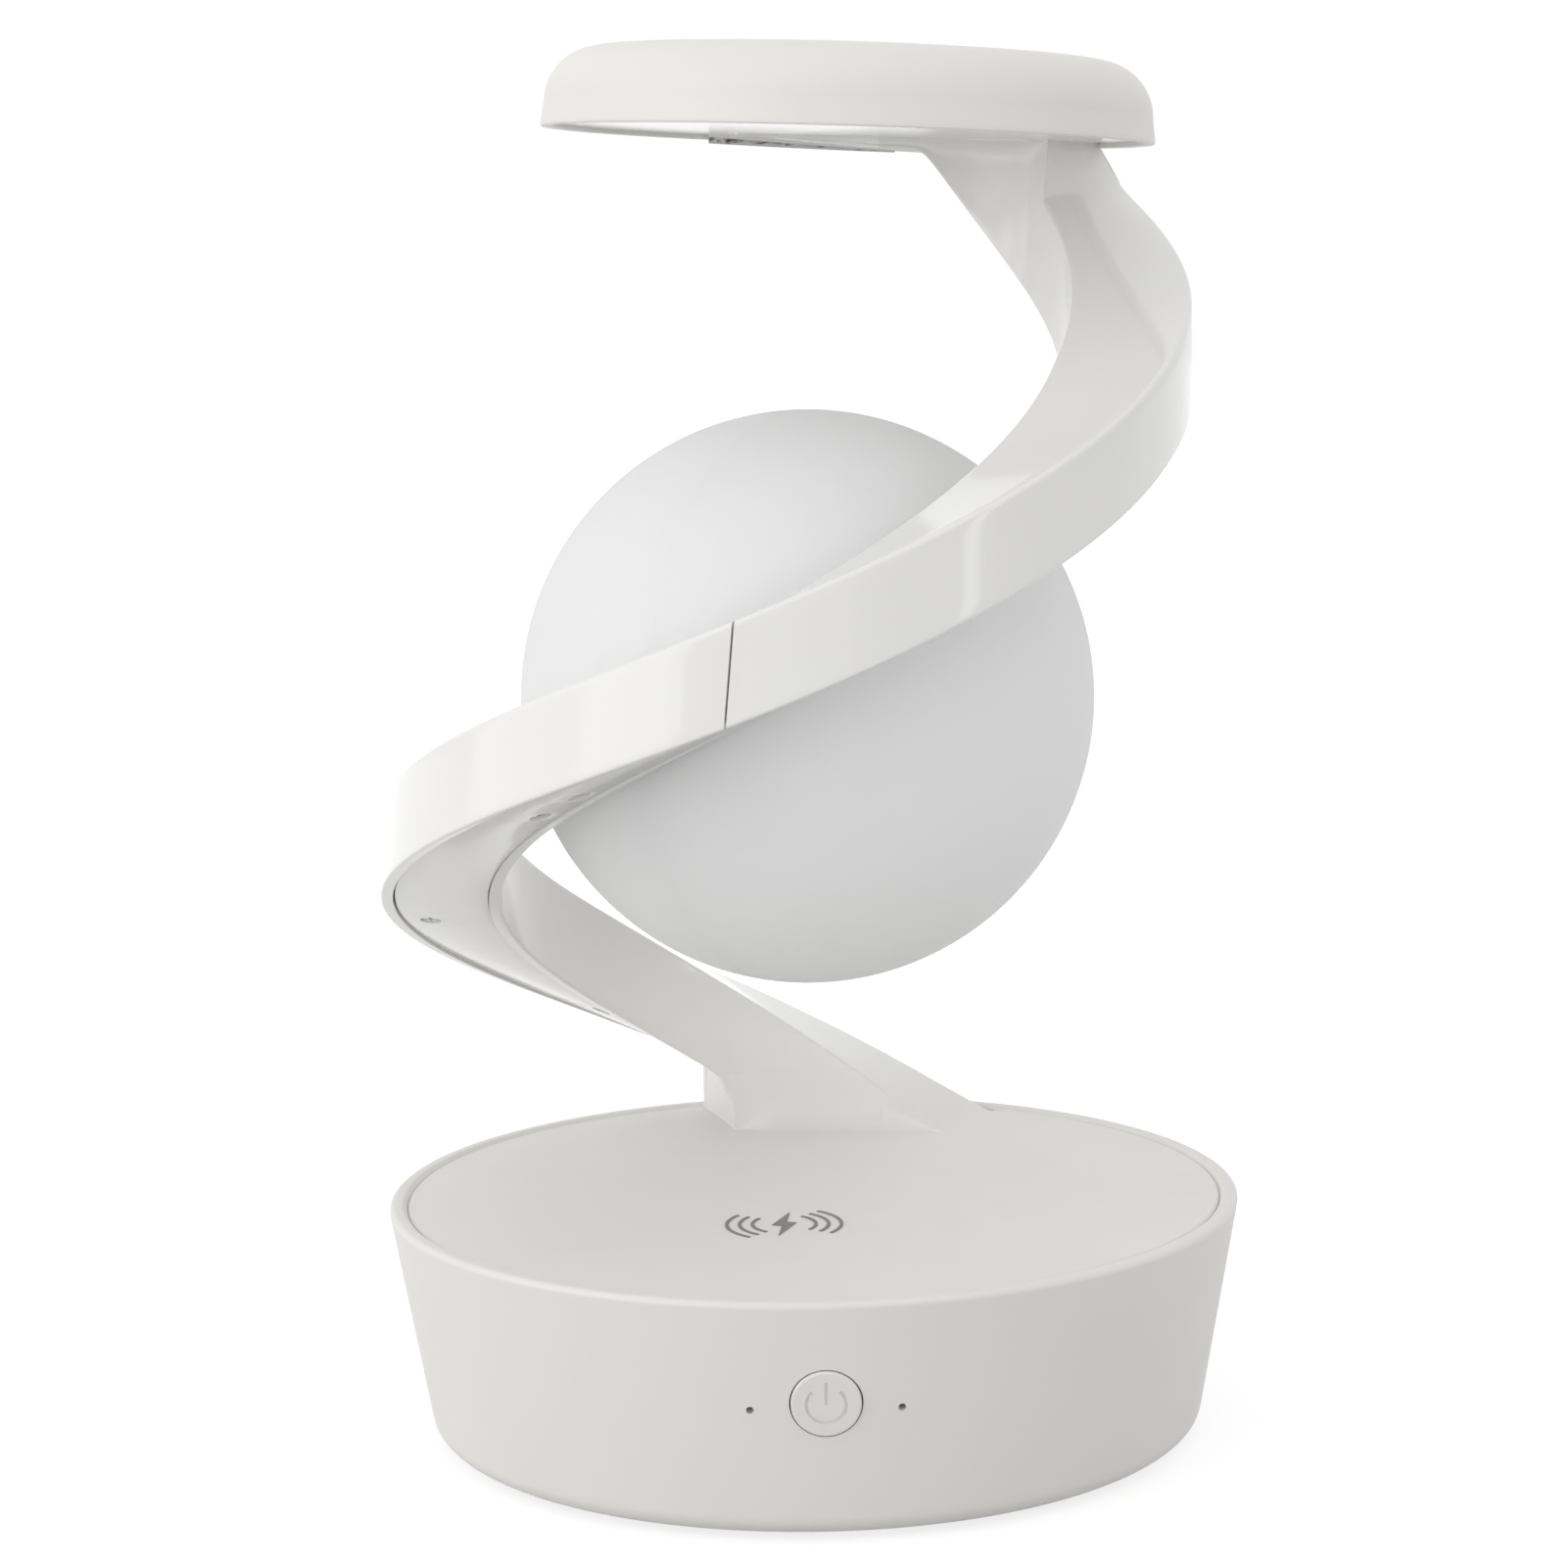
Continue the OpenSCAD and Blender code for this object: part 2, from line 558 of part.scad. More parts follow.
board_spot_x = board_w / 2 - standoff_r - 1;
board_spot_y = [board_rear - board_d + 5, board_rear - 12];
module board_spots() for (x = [-1, 1], y = board_spot_y) translate([x * board_spot_x, y, 0]) children();
module bottom_cover() color(white) difference() {
    union() {
        translate([0, 0, base_lift]) cylinder(h = bottom_t, r = base_opening_r - plate_gap);
        board_spots() translate([0, 0, base_in_z - eps])
            cylinder(h = board_z - base_in_z + eps, r = standoff_r);
    }
    translate([0, 0, base_lift - eps]) foot_body(foot_seat + eps, foot_play);
    around(case_screw_n, cover_screw_at) translate([0, 0, base_lift - eps]) case_hole(bottom_t + 1);
    around(case_screw_n, cover_screw_at) translate([0, 0, base_lift - eps])
        cylinder(h = case_head_t + case_head_sink + eps, r = case_head_r + hole_clear);
    board_spots() translate([0, 0, board_z + board_t]) mirror([0, 0, 1]) small_pilot();
}
case_head_sink = 0.2;
foot_out_r = cover_screw_at - foot_ring_gap;
foot_in_r = foot_out_r - foot_ring_w;
module foot_body(h, play) difference() {
    cylinder(h = h, r = foot_out_r + play);
    translate([0, 0, -1]) cylinder(h = h + 2, r = foot_in_r - play);
}
module foot_ring() color(dark) foot_body(base_lift + foot_seat, 0);
module case_screws() color(steel) {
    around(case_screw_n, cover_screw_at) translate([0, 0, base_lift + case_head_t + case_head_sink])
        case_screw();
    around(case_screw_n, plate_screw_at) translate([0, 0, lug_z - lug_t]) case_screw();
}

// Arm

harness_in_az = -182;
harness_out_az = 127;
harness_in = [harness_in_az, channel_mid(harness_in_az)];
harness_out = [harness_out_az, channel_mid(harness_out_az) - 2.5];
harness_hole_r = harness_r + 1.2;
boss_h = band_front - arm_wall / 2 - cover_inset - cover_t;
boss_lift = 0.4;
module arm_bosses(spots) for (s = spots) underside_frame(s)
    translate([0, 0, boss_lift]) cylinder(h = boss_h * cos(arm_pitch(s[0], RADIUS[3])), r = boss_r);
module arm_pilots(spots) for (s = spots) underside_frame(s) small_pilot();
// Upright walls that close the channel, over the plate and under the head
end_wall_turn = 2.1;
module foot_wall() {
    sweep([for (a = [foot_az - end_wall_turn, foot_az - 0.1]) let (c = corners(a), w = arm_wall / 2)
        let (outer = [c[0][0] - w, arm_sink_z], inner = [c[4][0] + w, arm_sink_z])
        [for (p = [outer, c[2] - [w, w], c[3] + [w, -w], inner]) place(a, p)]]);
}
module post_wall() {
    sweep([for (a = [post_az + 0.1, post_az + end_wall_turn]) let (c = corners(a), w = arm_wall / 2)
        let (h = corners(a, false, true), d = flange_t / 6)
        [for (p = [c[2] - [w, w], h[2] - [w, d], h[3] + [w, -d], c[3] + [w, -w]]) place(a, p)]]);
}
module neck_hole() neck_frame() translate([0, 0, globe_r])
    cylinder(h = arm_face - globe_r + 2 * arm_wall, r = neck_r + neck_clear);
module lower_arm() color(gloss_white) difference() {
    union() {
        translate([0, 0, plate_low_z]) cylinder(h = plate_t - plate_bevel, r = plate_r);
        translate([0, 0, plate_top_z - plate_bevel])
            cylinder(h = plate_bevel, r1 = plate_r, r2 = plate_r - plate_bevel);
        around(case_screw_n, plate_screw_at) translate([0, 0, lug_z + plate_lug_air])
            cylinder(h = ledge_t, r = lug_r - 1);
        coil_spots() translate([0, 0, tray_z + tray_t])
            cylinder(h = plate_low_z - tray_z - tray_t + eps, r = boss_r);
        arm_frame() sweep(concat([for (a = stations(root_az, foot_az)) channel(a, true)],
            [for (a = stations(foot_az + 0.2, seam_az)) channel(a)]), CHANNEL_END);
        arm_frame() foot_wall();
        arm_frame() arm_bosses(LOWER_SCREWS);
    }
    arm_frame() arm_pilots(LOWER_SCREWS);
    around(case_screw_n, plate_screw_at) translate([0, 0, lug_z - lug_t])
        cylinder(h = case_screw_l + tip_room, r = case_screw_r + screw_clear);
    coil_spots() translate([0, 0, tray_z]) cylinder(h = screw_l + tip_room, r = screw_r + screw_clear);
    arm_frame() translate(place(harness_in[0], [harness_in[1], plate_low_z - 1]))
        cylinder(h = plate_t + 2, r = harness_hole_r);
    arm_frame() translate(harness_at(foot_az - end_wall_turn / 2)) rotate([0, 90, foot_az])
        cylinder(h = 4 * arm_wall, r = harness_hole_r + 0.5, center = true);
    neck_hole();
}
plate_lug_air = 0.1;
module upper_arm() color(gloss_white) difference() {
    union() {
        arm_frame() sweep(concat([for (a = stations(seam_az + seam_turn, post_az)) channel(a)],
            [for (a = stations(post_az + 0.2, tip_az)) channel(a, false, true)]), CHANNEL_END);
        arm_frame() post_wall();
        arm_frame() arm_bosses(UPPER_SCREWS);
        head_frame() translate([0, 0, flange_sink]) cylinder(h = flange_t, r = flange_r);
        head_frame() translate([0, 0, flange_top - eps]) difference() {
            cylinder(h = upstand_h, r = upstand_r);
            translate([0, 0, -1]) cylinder(h = upstand_h + 2, r = upstand_r - upstand_t);
        }
        head_frame() head_spots() translate([0, 0, flange_top - eps])
            cylinder(h = head_board_lift + eps, r = boss_r);
    }
    arm_frame() arm_pilots(UPPER_SCREWS);
    head_frame() head_spots() translate([0, 0, head_board_z + board_t]) mirror([0, 0, 1]) small_pilot();
    arm_frame() translate(place(harness_out[0], [harness_out[1], harness_out_z - 3]))
        cylinder(h = 2 * flange_t + 3, r = harness_hole_r);
}
// Turn about the lamp's axis that leaves the gap in the seam
seam_turn = seam_gap / along(RADIUS, seam_az) * 180 / PI;
harness_out_z = flange_z(harness_out[0], harness_out[1]);
head_board_z = flange_top + head_board_lift;
// Strip that closes the channel, with a hole and a sunk seat for each screw
screw_seat = 0.7;
module arm_cover(a, b, spots) difference() {
    arm_frame() sweep([for (s = stations(a, b)) strip(s, cover_inset, cover_inset + cover_t, cover_gap)]);
    for (s = spots) arm_frame() underside_frame(s) {
        translate([0, 0, -2 * cover_t]) small_hole(3 * cover_t);
        translate([0, 0, -screw_seat - 3 * cover_t]) cylinder(h = 3 * cover_t, r = screw_head_r + hole_clear);
    }
}
module lower_arm_cover() color(gloss_white) arm_cover(cover_az[0], seam_az, LOWER_SCREWS);
module upper_arm_cover() color(gloss_white) arm_cover(seam_az + seam_turn, cover_az[1], UPPER_SCREWS);
// The tongue fills the outer half of the channel, so the wiring passes beside it
function tongue_ring(a) =
    let (c = corners(a), ro = c[2][0] - arm_wall - tongue_play, ri = ro - tongue_w)
    let (low = c[0][1] + cover_inset + cover_t + tongue_play)
    let (high = min(c[2][1], c[3][1]) - arm_wall - tongue_play)
    [for (p = [[ro, low], [ro, high], [ri, high], [ri, low]]) place(a, p)];
module joint_tongue() color(white) arm_frame()
    sweep([for (a = stations(seam_az - tongue_reach, seam_az + tongue_reach, 2)) tongue_ring(a)]);
module small_screws() color(steel) {
    for (s = concat(LOWER_SCREWS, UPPER_SCREWS)) arm_frame() underside_frame(s)
        translate([0, 0, -screw_seat]) small_screw();
    coil_spots() translate([0, 0, tray_z]) small_screw();
    head_frame() head_spots() translate([0, 0, head_board_z + board_t]) mirror([0, 0, 1]) small_screw();
    board_spots() translate([0, 0, board_z + board_t]) mirror([0, 0, 1]) small_screw();
    button_frame() switch_bosses() translate([0, 0, -board_t]) small_screw();
}

// Wiring: up through the plate, along the channel past the screw bosses, and up into the head
function harness_at(a) =
    let (c = corners(a), sway = harness_sway * cos(3.4 * (a + 44)))
    place(a, [channel_mid(a) + sway, (c[0][1] + c[4][1]) / 2 + harness_lift]);
harness_path = concat(
    [place(harness_in[0] - 4, [harness_in[1] - 12, board_z + board_t + harness_r + 0.3]),
    place(harness_in[0] - 1, [harness_in[1] - 2, plate_low_z - 13]),
    place(harness_in[0], [harness_in[1], plate_low_z]),
    place(harness_in[0] + 1, [harness_in[1], plate_low_z + 8]),
    place(harness_in[0] + 9, [harness_in[1] + 1.5, plate_low_z + 14])],
    [for (a = stations(foot_az - 5, harness_out[0] - 5, 5)) harness_at(a)],
    [place(harness_out[0] - 0.5, [harness_out[1] + 0.5, harness_out_z - 3]),
    place(harness_out[0], [harness_out[1], harness_out_z + flange_t + head_board_lift - 0.8])]);
function unit(v) = v / norm(v);
function tube_ring(path, i, r, n) =
    let (t = unit(path[min(i + 1, len(path) - 1)] - path[max(i - 1, 0)]))
    let (e = unit([path[i][0], path[i][1], 0]))
    let (u = unit(e - (e * t) * t), v = cross(t, u))
    [for (k = [0 : n - 1]) path[i] + r * (cos(k * 360 / n) * u + sin(k * 360 / n) * v)];
module arm_harness() color(dark) arm_frame()
    sweep([for (i = [0 : len(harness_path) - 1]) tube_ring(harness_path, i, harness_r, 8)],
        [[for (k = [0 : 7]) k]]);

// Charging coil under the plate, and the sign printed over it

tray_z = plate_low_z - coil_t - shield_t - tray_t - 2 * coil_air;
tray_r = coil_r + tray_margin;
module coil_spots() translate([0, coil_y, 0]) around(3, tray_r + boss_r, 30) children();
module charge_coil() color(copper) translate([0, coil_y, plate_low_z - coil_air - coil_t]) difference() {
    cylinder(h = coil_t, r = coil_r);
    translate([0, 0, -1]) cylinder(h = coil_t + 2, r = coil_hole_r);
}
module coil_shield() color(dark) translate([0, coil_y, tray_z + tray_t]) cylinder(h = shield_t, r = coil_r);
module coil_tray() color(white) difference() {
    union() {
        translate([0, coil_y, tray_z]) cylinder(h = tray_t, r = tray_r);
        coil_spots() translate([0, 0, tray_z]) cylinder(h = tray_t, r = boss_r + tray_margin / 2);
    }
    coil_spots() translate([0, 0, tray_z - 1]) small_hole(tray_t + 2);
}
// Three arcs on each side of a bolt, struck from a point beyond the sign's middle
mark_turn = 8;
mark_back = 1.35;
mark_half = 42;
module mark_arcs() for (i = [0 : 2], s = [0, 180]) rotate(s) translate([-mark_back, 0]) intersection() {
    difference() {
        circle(mark_r + i * mark_step + mark_w / 2);
        circle(mark_r + i * mark_step - mark_w / 2);
    }
    polygon([[0, 0], [mark_r * 3, -mark_r * 3 * tan(mark_half)], [mark_r * 3, mark_r * 3 * tan(mark_half)]]);
}
bolt_half = [[bolt_w * 0.23, bolt_h / 2], [-bolt_w / 2, -bolt_h * 0.045], [-bolt_w * 0.1, -bolt_h * 0.077]];
module bolt() polygon(concat(bolt_half, -bolt_half));
module charge_mark() color(dark) arm_frame() translate([mark_x, coil_y, plate_top_z]) linear_extrude(mark_t) {
    rotate(mark_turn) mark_arcs();
    bolt();
}

// Globe, with +Z of the neck's frame pointing out through the neck

sphere_fn = 240;
module half_space(s) translate([s > 0 ? 0 : -2 * globe_r, -globe_r * 2, -globe_r * 2])
    cube([2 * globe_r, globe_r * 4, globe_r * 4]);
// Lip on the right half that centres it in the left half
lip_h = 1.6;
lip_t = globe_wall / 2;
lip_gap = 0.1;
module lip(r, t, h) rotate([0, 90, 0]) difference() {
    cylinder(h = h, r = r, $fn = sphere_fn);
    translate([0, 0, -1]) cylinder(h = h + 2, r = r - t, $fn = sphere_fn);
}
module globe_hole() translate([0, 0, globe_in_r - 4]) cylinder(h = 10, r = neck_r + neck_clear);
module globe_shell() difference() {
    sphere(globe_r, $fn = sphere_fn);
    sphere(globe_in_r, $fn = sphere_fn);
    globe_hole();
}
module globe_left() color(opal) neck_frame() difference() {
    intersection() {
        globe_shell();
        half_space(-1);
    }
    translate([-lip_h, 0, 0]) lip(globe_in_r + lip_t, 2 * lip_t, lip_h + 1);
}
module globe_right() color(opal) neck_frame() union() {
    intersection() {
        globe_shell();
        half_space(1);
    }
    difference() {
        translate([-lip_h + lip_gap, 0, 0]) lip(globe_in_r + lip_t - lip_gap, lip_t, lip_h + lip_t / 2);
        globe_hole();
    }
}
// Distances out along the neck, from the globe's middle
arm_face = neck_wall[3][0] - globe_x * sin(neck_az);
nut_out = arm_face + arm_wall + 0.3;
nut_in = globe_in_r - 0.5 - neck_nut_t;
neck_inner = nut_in - 6;
neck_outer = nut_out + neck_nut_t + 0.7;
module globe_neck() color(steel) neck_frame() translate([0, 0, neck_inner]) difference() {
    cylinder(h = neck_outer - neck_inner, r = neck_r);
    translate([0, 0, -1]) cylinder(h = neck_outer - neck_inner + 2, r = neck_bore_r);
}
spacer_seat = 0.05;
spacer_end = arm_face - spacer_gap;
module globe_spacer() color(opal) neck_frame() difference() {
    translate([0, 0, globe_r - 1]) cylinder(h = spacer_end - globe_r + 1, r = spacer_r);
    sphere(globe_r + spacer_seat, $fn = sphere_fn);
    translate([0, 0, globe_r - 2]) cylinder(h = arm_face - globe_r + 4, r = neck_r + neck_clear);
}
thread_clear = 0.02;
module neck_nut() difference() {
    rotate(30) cylinder(h = neck_nut_t, r = neck_nut_af / 2 / cos(30), $fn = 6);
    translate([0, 0, -1]) cylinder(h = neck_nut_t + 2, r = neck_r + thread_clear);
}
module globe_neck_nuts() color(steel) neck_frame()
    for (z = [nut_in, nut_out]) translate([0, 0, z]) neck_nut();
globe_board_at = globe_in_r - globe_board_gap;
holder_clear = 0.05;
module globe_lamp_holder() color(white) neck_frame() difference() {
    translate([0, 0, globe_board_at + board_t]) cylinder(h = nut_in - globe_board_at - board_t, r = holder_r);
    translate([0, 0, neck_inner - 0.2]) cylinder(h = globe_r - neck_inner, r = neck_r + holder_clear);
    translate([0, 0, globe_board_at]) cylinder(h = globe_r, r = neck_bore_r);
}
module globe_lamp_board() color(board_green) neck_frame() translate([0, 0, globe_board_at])
    cylinder(h = board_t, r = globe_board_r);
// Light chip, soldered to its board at z = 0
chip_w = 2.8;
chip_l = 3.5;
chip_h = 0.8;
module chip() translate([-chip_w / 2, -chip_l / 2, 0]) cube([chip_w, chip_l, chip_h]);
module globe_leds() color(light_yellow) neck_frame() translate([0, 0, globe_board_at - chip_h])
    around(globe_led_n, globe_board_r - chip_l) chip();

// Head

upstand_r = head_rim_r - cap_wall - cap_ledge_w - cap_gap;
head_board_r = upstand_r - upstand_t - head_board_gap;
cap_h = cap_shoulder_z + cap_crown;
// Half section of the cap: wall, rounded edge and crown
module cap_line(r, h, edge, shoulder) {
    edge_c = [r - cap_draw - edge, shoulder - edge];
    crown = [for (t = [0.8 : -0.2 : 0]) [edge_c[0] * t, h - (h - shoulder) * t ^ 2]];
    polygon(concat([[0, 0], [r, 0]], arc(edge_c, edge, 0, 86, 8), crown));
}
module head_cap() color(white) head_frame() {
    rotate_extrude() difference() {
        cap_line(head_rim_r, cap_h, cap_edge_r, cap_shoulder_z);
        translate([0, -eps]) cap_line(head_rim_r - cap_wall, cap_h - cap_wall, cap_edge_r - cap_wall,
            cap_shoulder_z - cap_wall);
    }
    translate([0, 0, flange_top]) difference() {
        cylinder(h = cap_ledge_t, r = head_rim_r - cap_wall / 2 - cap_draw / 2);
        translate([0, 0, -1]) cylinder(h = cap_ledge_t + 2, r = upstand_r + cap_gap);
    }
}
head_spot_inset = 6;
module head_spots() around(3, head_board_r - head_spot_inset, 90) children();
module head_board() color(board_green) head_frame() translate([0, 0, head_board_z]) difference() {
    cylinder(h = board_t, r = head_board_r);
    head_spots() translate([0, 0, -1]) small_hole(board_t + 2);
}
// Two circles of light chips, inside the board's screws
head_led_at = [head_board_r - head_spot_inset - 6, head_board_r - head_spot_inset - 20];
module head_leds() color(light_yellow) head_frame() translate([0, 0, head_board_z + board_t]) {
    around(head_led_n, head_led_at[0], 15) chip();
    around(head_led_n / 2, head_led_at[1], 15) chip();
}

// Main board and charging inlet

// Chip, capacitor and transformer on the board, each measured from its front edge
module main_board() color(board_green) difference() {
    union() {
        translate([-board_w / 2, board_rear - board_d, board_z]) cube([board_w, board_d, board_t]);
        translate([0, board_rear - board_d, board_z + board_t - eps]) {
            translate([-14, 9, 0]) cube([10, 10, 1.6]);
            translate([7, 16, 0]) cylinder(h = 8, r = 4);
            translate([-4, 26, 0]) cube([8, 8, 3]);
        }
    }
    board_spots() translate([0, 0, board_z - 1]) small_hole(board_t + 2);
}
usb_skin = 0.35;
usb_back = 1.2;
module usb_socket() color(steel) translate([0, usb_front - usb_d, usb_z]) difference() {
    slot_y(usb_w, usb_h, usb_d);
    translate([0, usb_back, 0]) slot_y(usb_w - 2 * usb_skin, usb_h - 2 * usb_skin, usb_d);
}

// Power button and switch, with +Z of the button's frame pointing out of the wall

button_r = button_hole_r - button_gap;
button_seat = 0.3;
// The curved wall falls back behind the flat button
sag = (button_r + button_flange_w) ^ 2 / (2 * wall_r(button_z) - 4 * base_wall);
flange_out = -base_wall - sag - button_seat;
stem_end = flange_out - button_flange_t - stem_l;
plunger_out = stem_end - stem_gap;
switch_top = plunger_out - button_travel - plunger_room;
switch_board_top = switch_top - switch_h;
switch_boss_x = pinhole_x + switch_boss_gap;
// The switch board's bosses end inside the wall, which falls back further there
boss_sag = (switch_boss_x + boss_r) ^ 2 / (2 * wall_r(button_z)) + base_wall / 6;
module power_button() color(white) button_frame() difference() {
    union() {
        translate([0, 0, flange_out - eps]) cylinder(h = button_proud - flange_out + eps, r = button_r);
        translate([0, 0, flange_out - button_flange_t])
            cylinder(h = button_flange_t, r = button_r + button_flange_w);
        translate([0, 0, stem_end]) cylinder(h = stem_l + eps, r = stem_r);
    }
    translate([0, 0, button_proud - sign_depth]) power_sign();
}
// Open ring with a bar at the top
sign_gap = 45;
module power_sign() {
    rotate([0, 0, 90 + sign_gap]) rotate_extrude(angle = 360 - 2 * sign_gap)
        translate([sign_r - sign_w / 2, 0]) square([sign_w, 2 * sign_depth]);
    translate([-sign_w / 2, 0, 0]) cube([sign_w, sign_bar_l, 2 * sign_depth]);
}
switch_board_y = [-5.5, 4];
switch_board_margin = 3;
module switch_board() color(board_green) button_frame() difference() {
    translate([-switch_boss_x - switch_board_margin, switch_board_y[0], switch_board_top - board_t])
        cube([2 * (switch_boss_x + switch_board_margin), switch_board_y[1] - switch_board_y[0], board_t]);
    switch_bosses() translate([0, 0, -board_t - 1]) small_hole(board_t + 2);
}
switch_floor = 0.5;
switch_slack = 0.1;
dome_low = switch_board_top + switch_floor;
dome_top = plunger_out - plunger_l - switch_slack;
dome_t = 0.15;
module switch_body() color(dark) button_frame() difference() {
    translate([-switch_w / 2, -switch_w / 2, switch_board_top]) cube([switch_w, switch_w, switch_h]);
    translate([0, 0, dome_low]) cylinder(h = switch_h, r = plunger_r + switch_slack);
    translate([0, 0, dome_low])
        cylinder(h = dome_top - dome_low + 2 * switch_slack, r = dome_r + switch_slack);
}
module switch_plunger() color(steel) button_frame() translate([0, 0, plunger_out - plunger_l])
    cylinder(h = plunger_l, r = plunger_r);
module switch_dome() color(copper) button_frame() translate([0, 0, dome_low]) difference() {
    cylinder(h = dome_top - dome_low, r1 = dome_r, r2 = dome_r / 2);
    translate([0, 0, -dome_t])
        cylinder(h = dome_top - dome_low, r1 = dome_r - dome_t / 2, r2 = (dome_r - dome_t) / 2);
}
// The two small parts behind the pinholes reach up to the curved wall
pin_seat = 0.5;
pin_depth = -base_wall - pinhole_x ^ 2 / (2 * wall_r(button_z)) - pin_seat;
indicator_r = 1.5;
microphone_r = 2;
module behind_pinhole(s, r) button_frame() translate([s * pinhole_x, -pinhole_drop, switch_board_top])
    cylinder(h = pin_depth - switch_board_top, r = r);
module indicator_led() color(dark) behind_pinhole(-1, indicator_r);
module microphone() color(dark) behind_pinhole(1, microphone_r);

base_shell();
bottom_cover();
foot_ring();
case_screws();
lower_arm();
charge_mark();
lower_arm_cover();
joint_tongue();
upper_arm();
upper_arm_cover();
small_screws();
arm_harness();
globe_left();
globe_right();
globe_neck();
globe_spacer();
globe_neck_nuts();
globe_lamp_holder();
globe_lamp_board();
globe_leds();
head_cap();
head_board();
head_leds();
charge_coil();
coil_shield();
coil_tray();
main_board();
usb_socket();
power_button();
switch_board();
switch_body();
switch_plunger();
switch_dome();
indicator_led();
microphone();
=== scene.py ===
import math
import bpy
import bmesh
from mathutils import Matrix, Vector


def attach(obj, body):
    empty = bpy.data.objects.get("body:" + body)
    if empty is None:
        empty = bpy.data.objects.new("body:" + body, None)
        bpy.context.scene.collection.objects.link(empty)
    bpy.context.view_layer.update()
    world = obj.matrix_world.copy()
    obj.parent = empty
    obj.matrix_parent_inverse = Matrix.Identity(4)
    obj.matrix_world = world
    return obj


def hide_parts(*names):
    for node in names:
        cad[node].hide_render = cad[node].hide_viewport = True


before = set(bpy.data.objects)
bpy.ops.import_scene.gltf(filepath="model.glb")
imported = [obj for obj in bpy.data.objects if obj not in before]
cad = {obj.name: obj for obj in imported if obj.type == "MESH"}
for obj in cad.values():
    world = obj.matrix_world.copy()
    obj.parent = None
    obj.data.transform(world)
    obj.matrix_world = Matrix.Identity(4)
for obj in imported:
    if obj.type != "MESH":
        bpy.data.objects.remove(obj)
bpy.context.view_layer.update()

# Base shell
# The conical case that the lamp stands on, moulded in satin white plastic. Its lower edge is rounded, and a
# flat rim and a ledge inside take the charging plate. The button, two pinholes and the power inlet break
# through its wall.
MM = 0.001
RIM_R, RIM_Z, BASE_WALL = 75.2, 42.0, 2.4
TAPER = math.radians(10)
SEAT_R, LEDGE_R, PLATE_LOW, LEDGE_LOW = 71.85, 67.65, 39.0, 36.5
OPENING_R, BASE_LIFT, BASE_FLOOR = 60.61, 1.0, 3.4
BUTTON_Z, BUTTON_HOLE_R = 24.6, 5.95
PINHOLE_X, PINHOLE_DROP, PINHOLE_R = 12.2, 1.45, 0.65
INLET_Z, INLET_W, INLET_H = 15.25, 9.0, 3.3


def wall_r(z):
    return RIM_R - (RIM_Z - z) * math.tan(TAPER)


def put(tree, kind, inputs=(), **settings):
    """Adds a node, sets its settings, and gives its inputs values or links them to sockets."""
    node = tree.nodes.new(kind)
    for name, value in settings.items():
        setattr(node, name, value)
    for key, value in dict(inputs).items():
        if isinstance(value, bpy.types.NodeSocket):
            tree.links.new(value, node.inputs[key])
        else:
            node.inputs[key].default_value = value
    return node


def finish_with(name, build):
    """A new material whose tree is filled by build, which returns the surface shader."""
    material = bpy.data.materials.new(name)
    material.use_nodes = True
    tree = material.node_tree
    tree.nodes.clear()
    place = put(tree, "ShaderNodeTexCoord").outputs["Object"]
    shader = build(tree, place)
    put(tree, "ShaderNodeOutputMaterial", {"Surface": shader.outputs[0]})
    return material


def speckle(tree, place, scale, detail=2.0):
    return put(tree, "ShaderNodeTexNoise", {"Vector": place, "Scale": scale, "Detail": detail}).outputs["Fac"]


def tint(tree, share, shade, tone):
    """A colour between a shade and a tone."""
    return put(tree, "ShaderNodeMix", {0: share, 6: (*shade, 1), 7: (*tone, 1)}, data_type="RGBA").outputs[2]


def span(tree, value, low, high, start=0.0, end=1.0, smooth=False):
    """A value from start to end, mapped to low to high."""
    inputs = {"Value": value, "From Min": start, "From Max": end, "To Min": low, "To Max": high}
    kind = "SMOOTHSTEP" if smooth else "LINEAR"
    return put(tree, "ShaderNodeMapRange", inputs, interpolation_type=kind).outputs[0]


def relief(tree, height, strength, depth):
    return put(tree, "ShaderNodeBump", {"Height": height, "Strength": strength, "Distance": depth}).outputs[0]


def skin(tree, colour, rough, bump, **more):
    """The surface shader of a piece. A number that is the same all over goes straight to its socket."""
    inputs = {"Base Color": colour, "Roughness": rough, "Normal": bump}
    inputs.update({key.replace("_", " "): value for key, value in more.items()})
    return put(tree, "ShaderNodeBsdfPrincipled", inputs)


def moulded(name, shade, tone, roughness, grain, depth):
    """Moulded plastic: a fine grain in its skin, a faint cloud in its colour and a slightly uneven gloss."""
    def build(tree, place):
        gloss = span(tree, speckle(tree, place, 90.0, 4.0), roughness - 0.04, roughness + 0.04, 0.3, 0.7)
        grained = relief(tree, speckle(tree, place, grain), 0.5, depth)
        return skin(tree, tint(tree, speckle(tree, place, 32.0, 3.0), shade, tone), gloss, grained)
    return finish_with(name, build)


PLATE_SHADE, PLATE_TONE = (0.775, 0.765, 0.742), (0.800, 0.791, 0.770)
satin_white = moulded("satin_white", PLATE_SHADE, PLATE_TONE, 0.46, 2600.0, 0.000012)


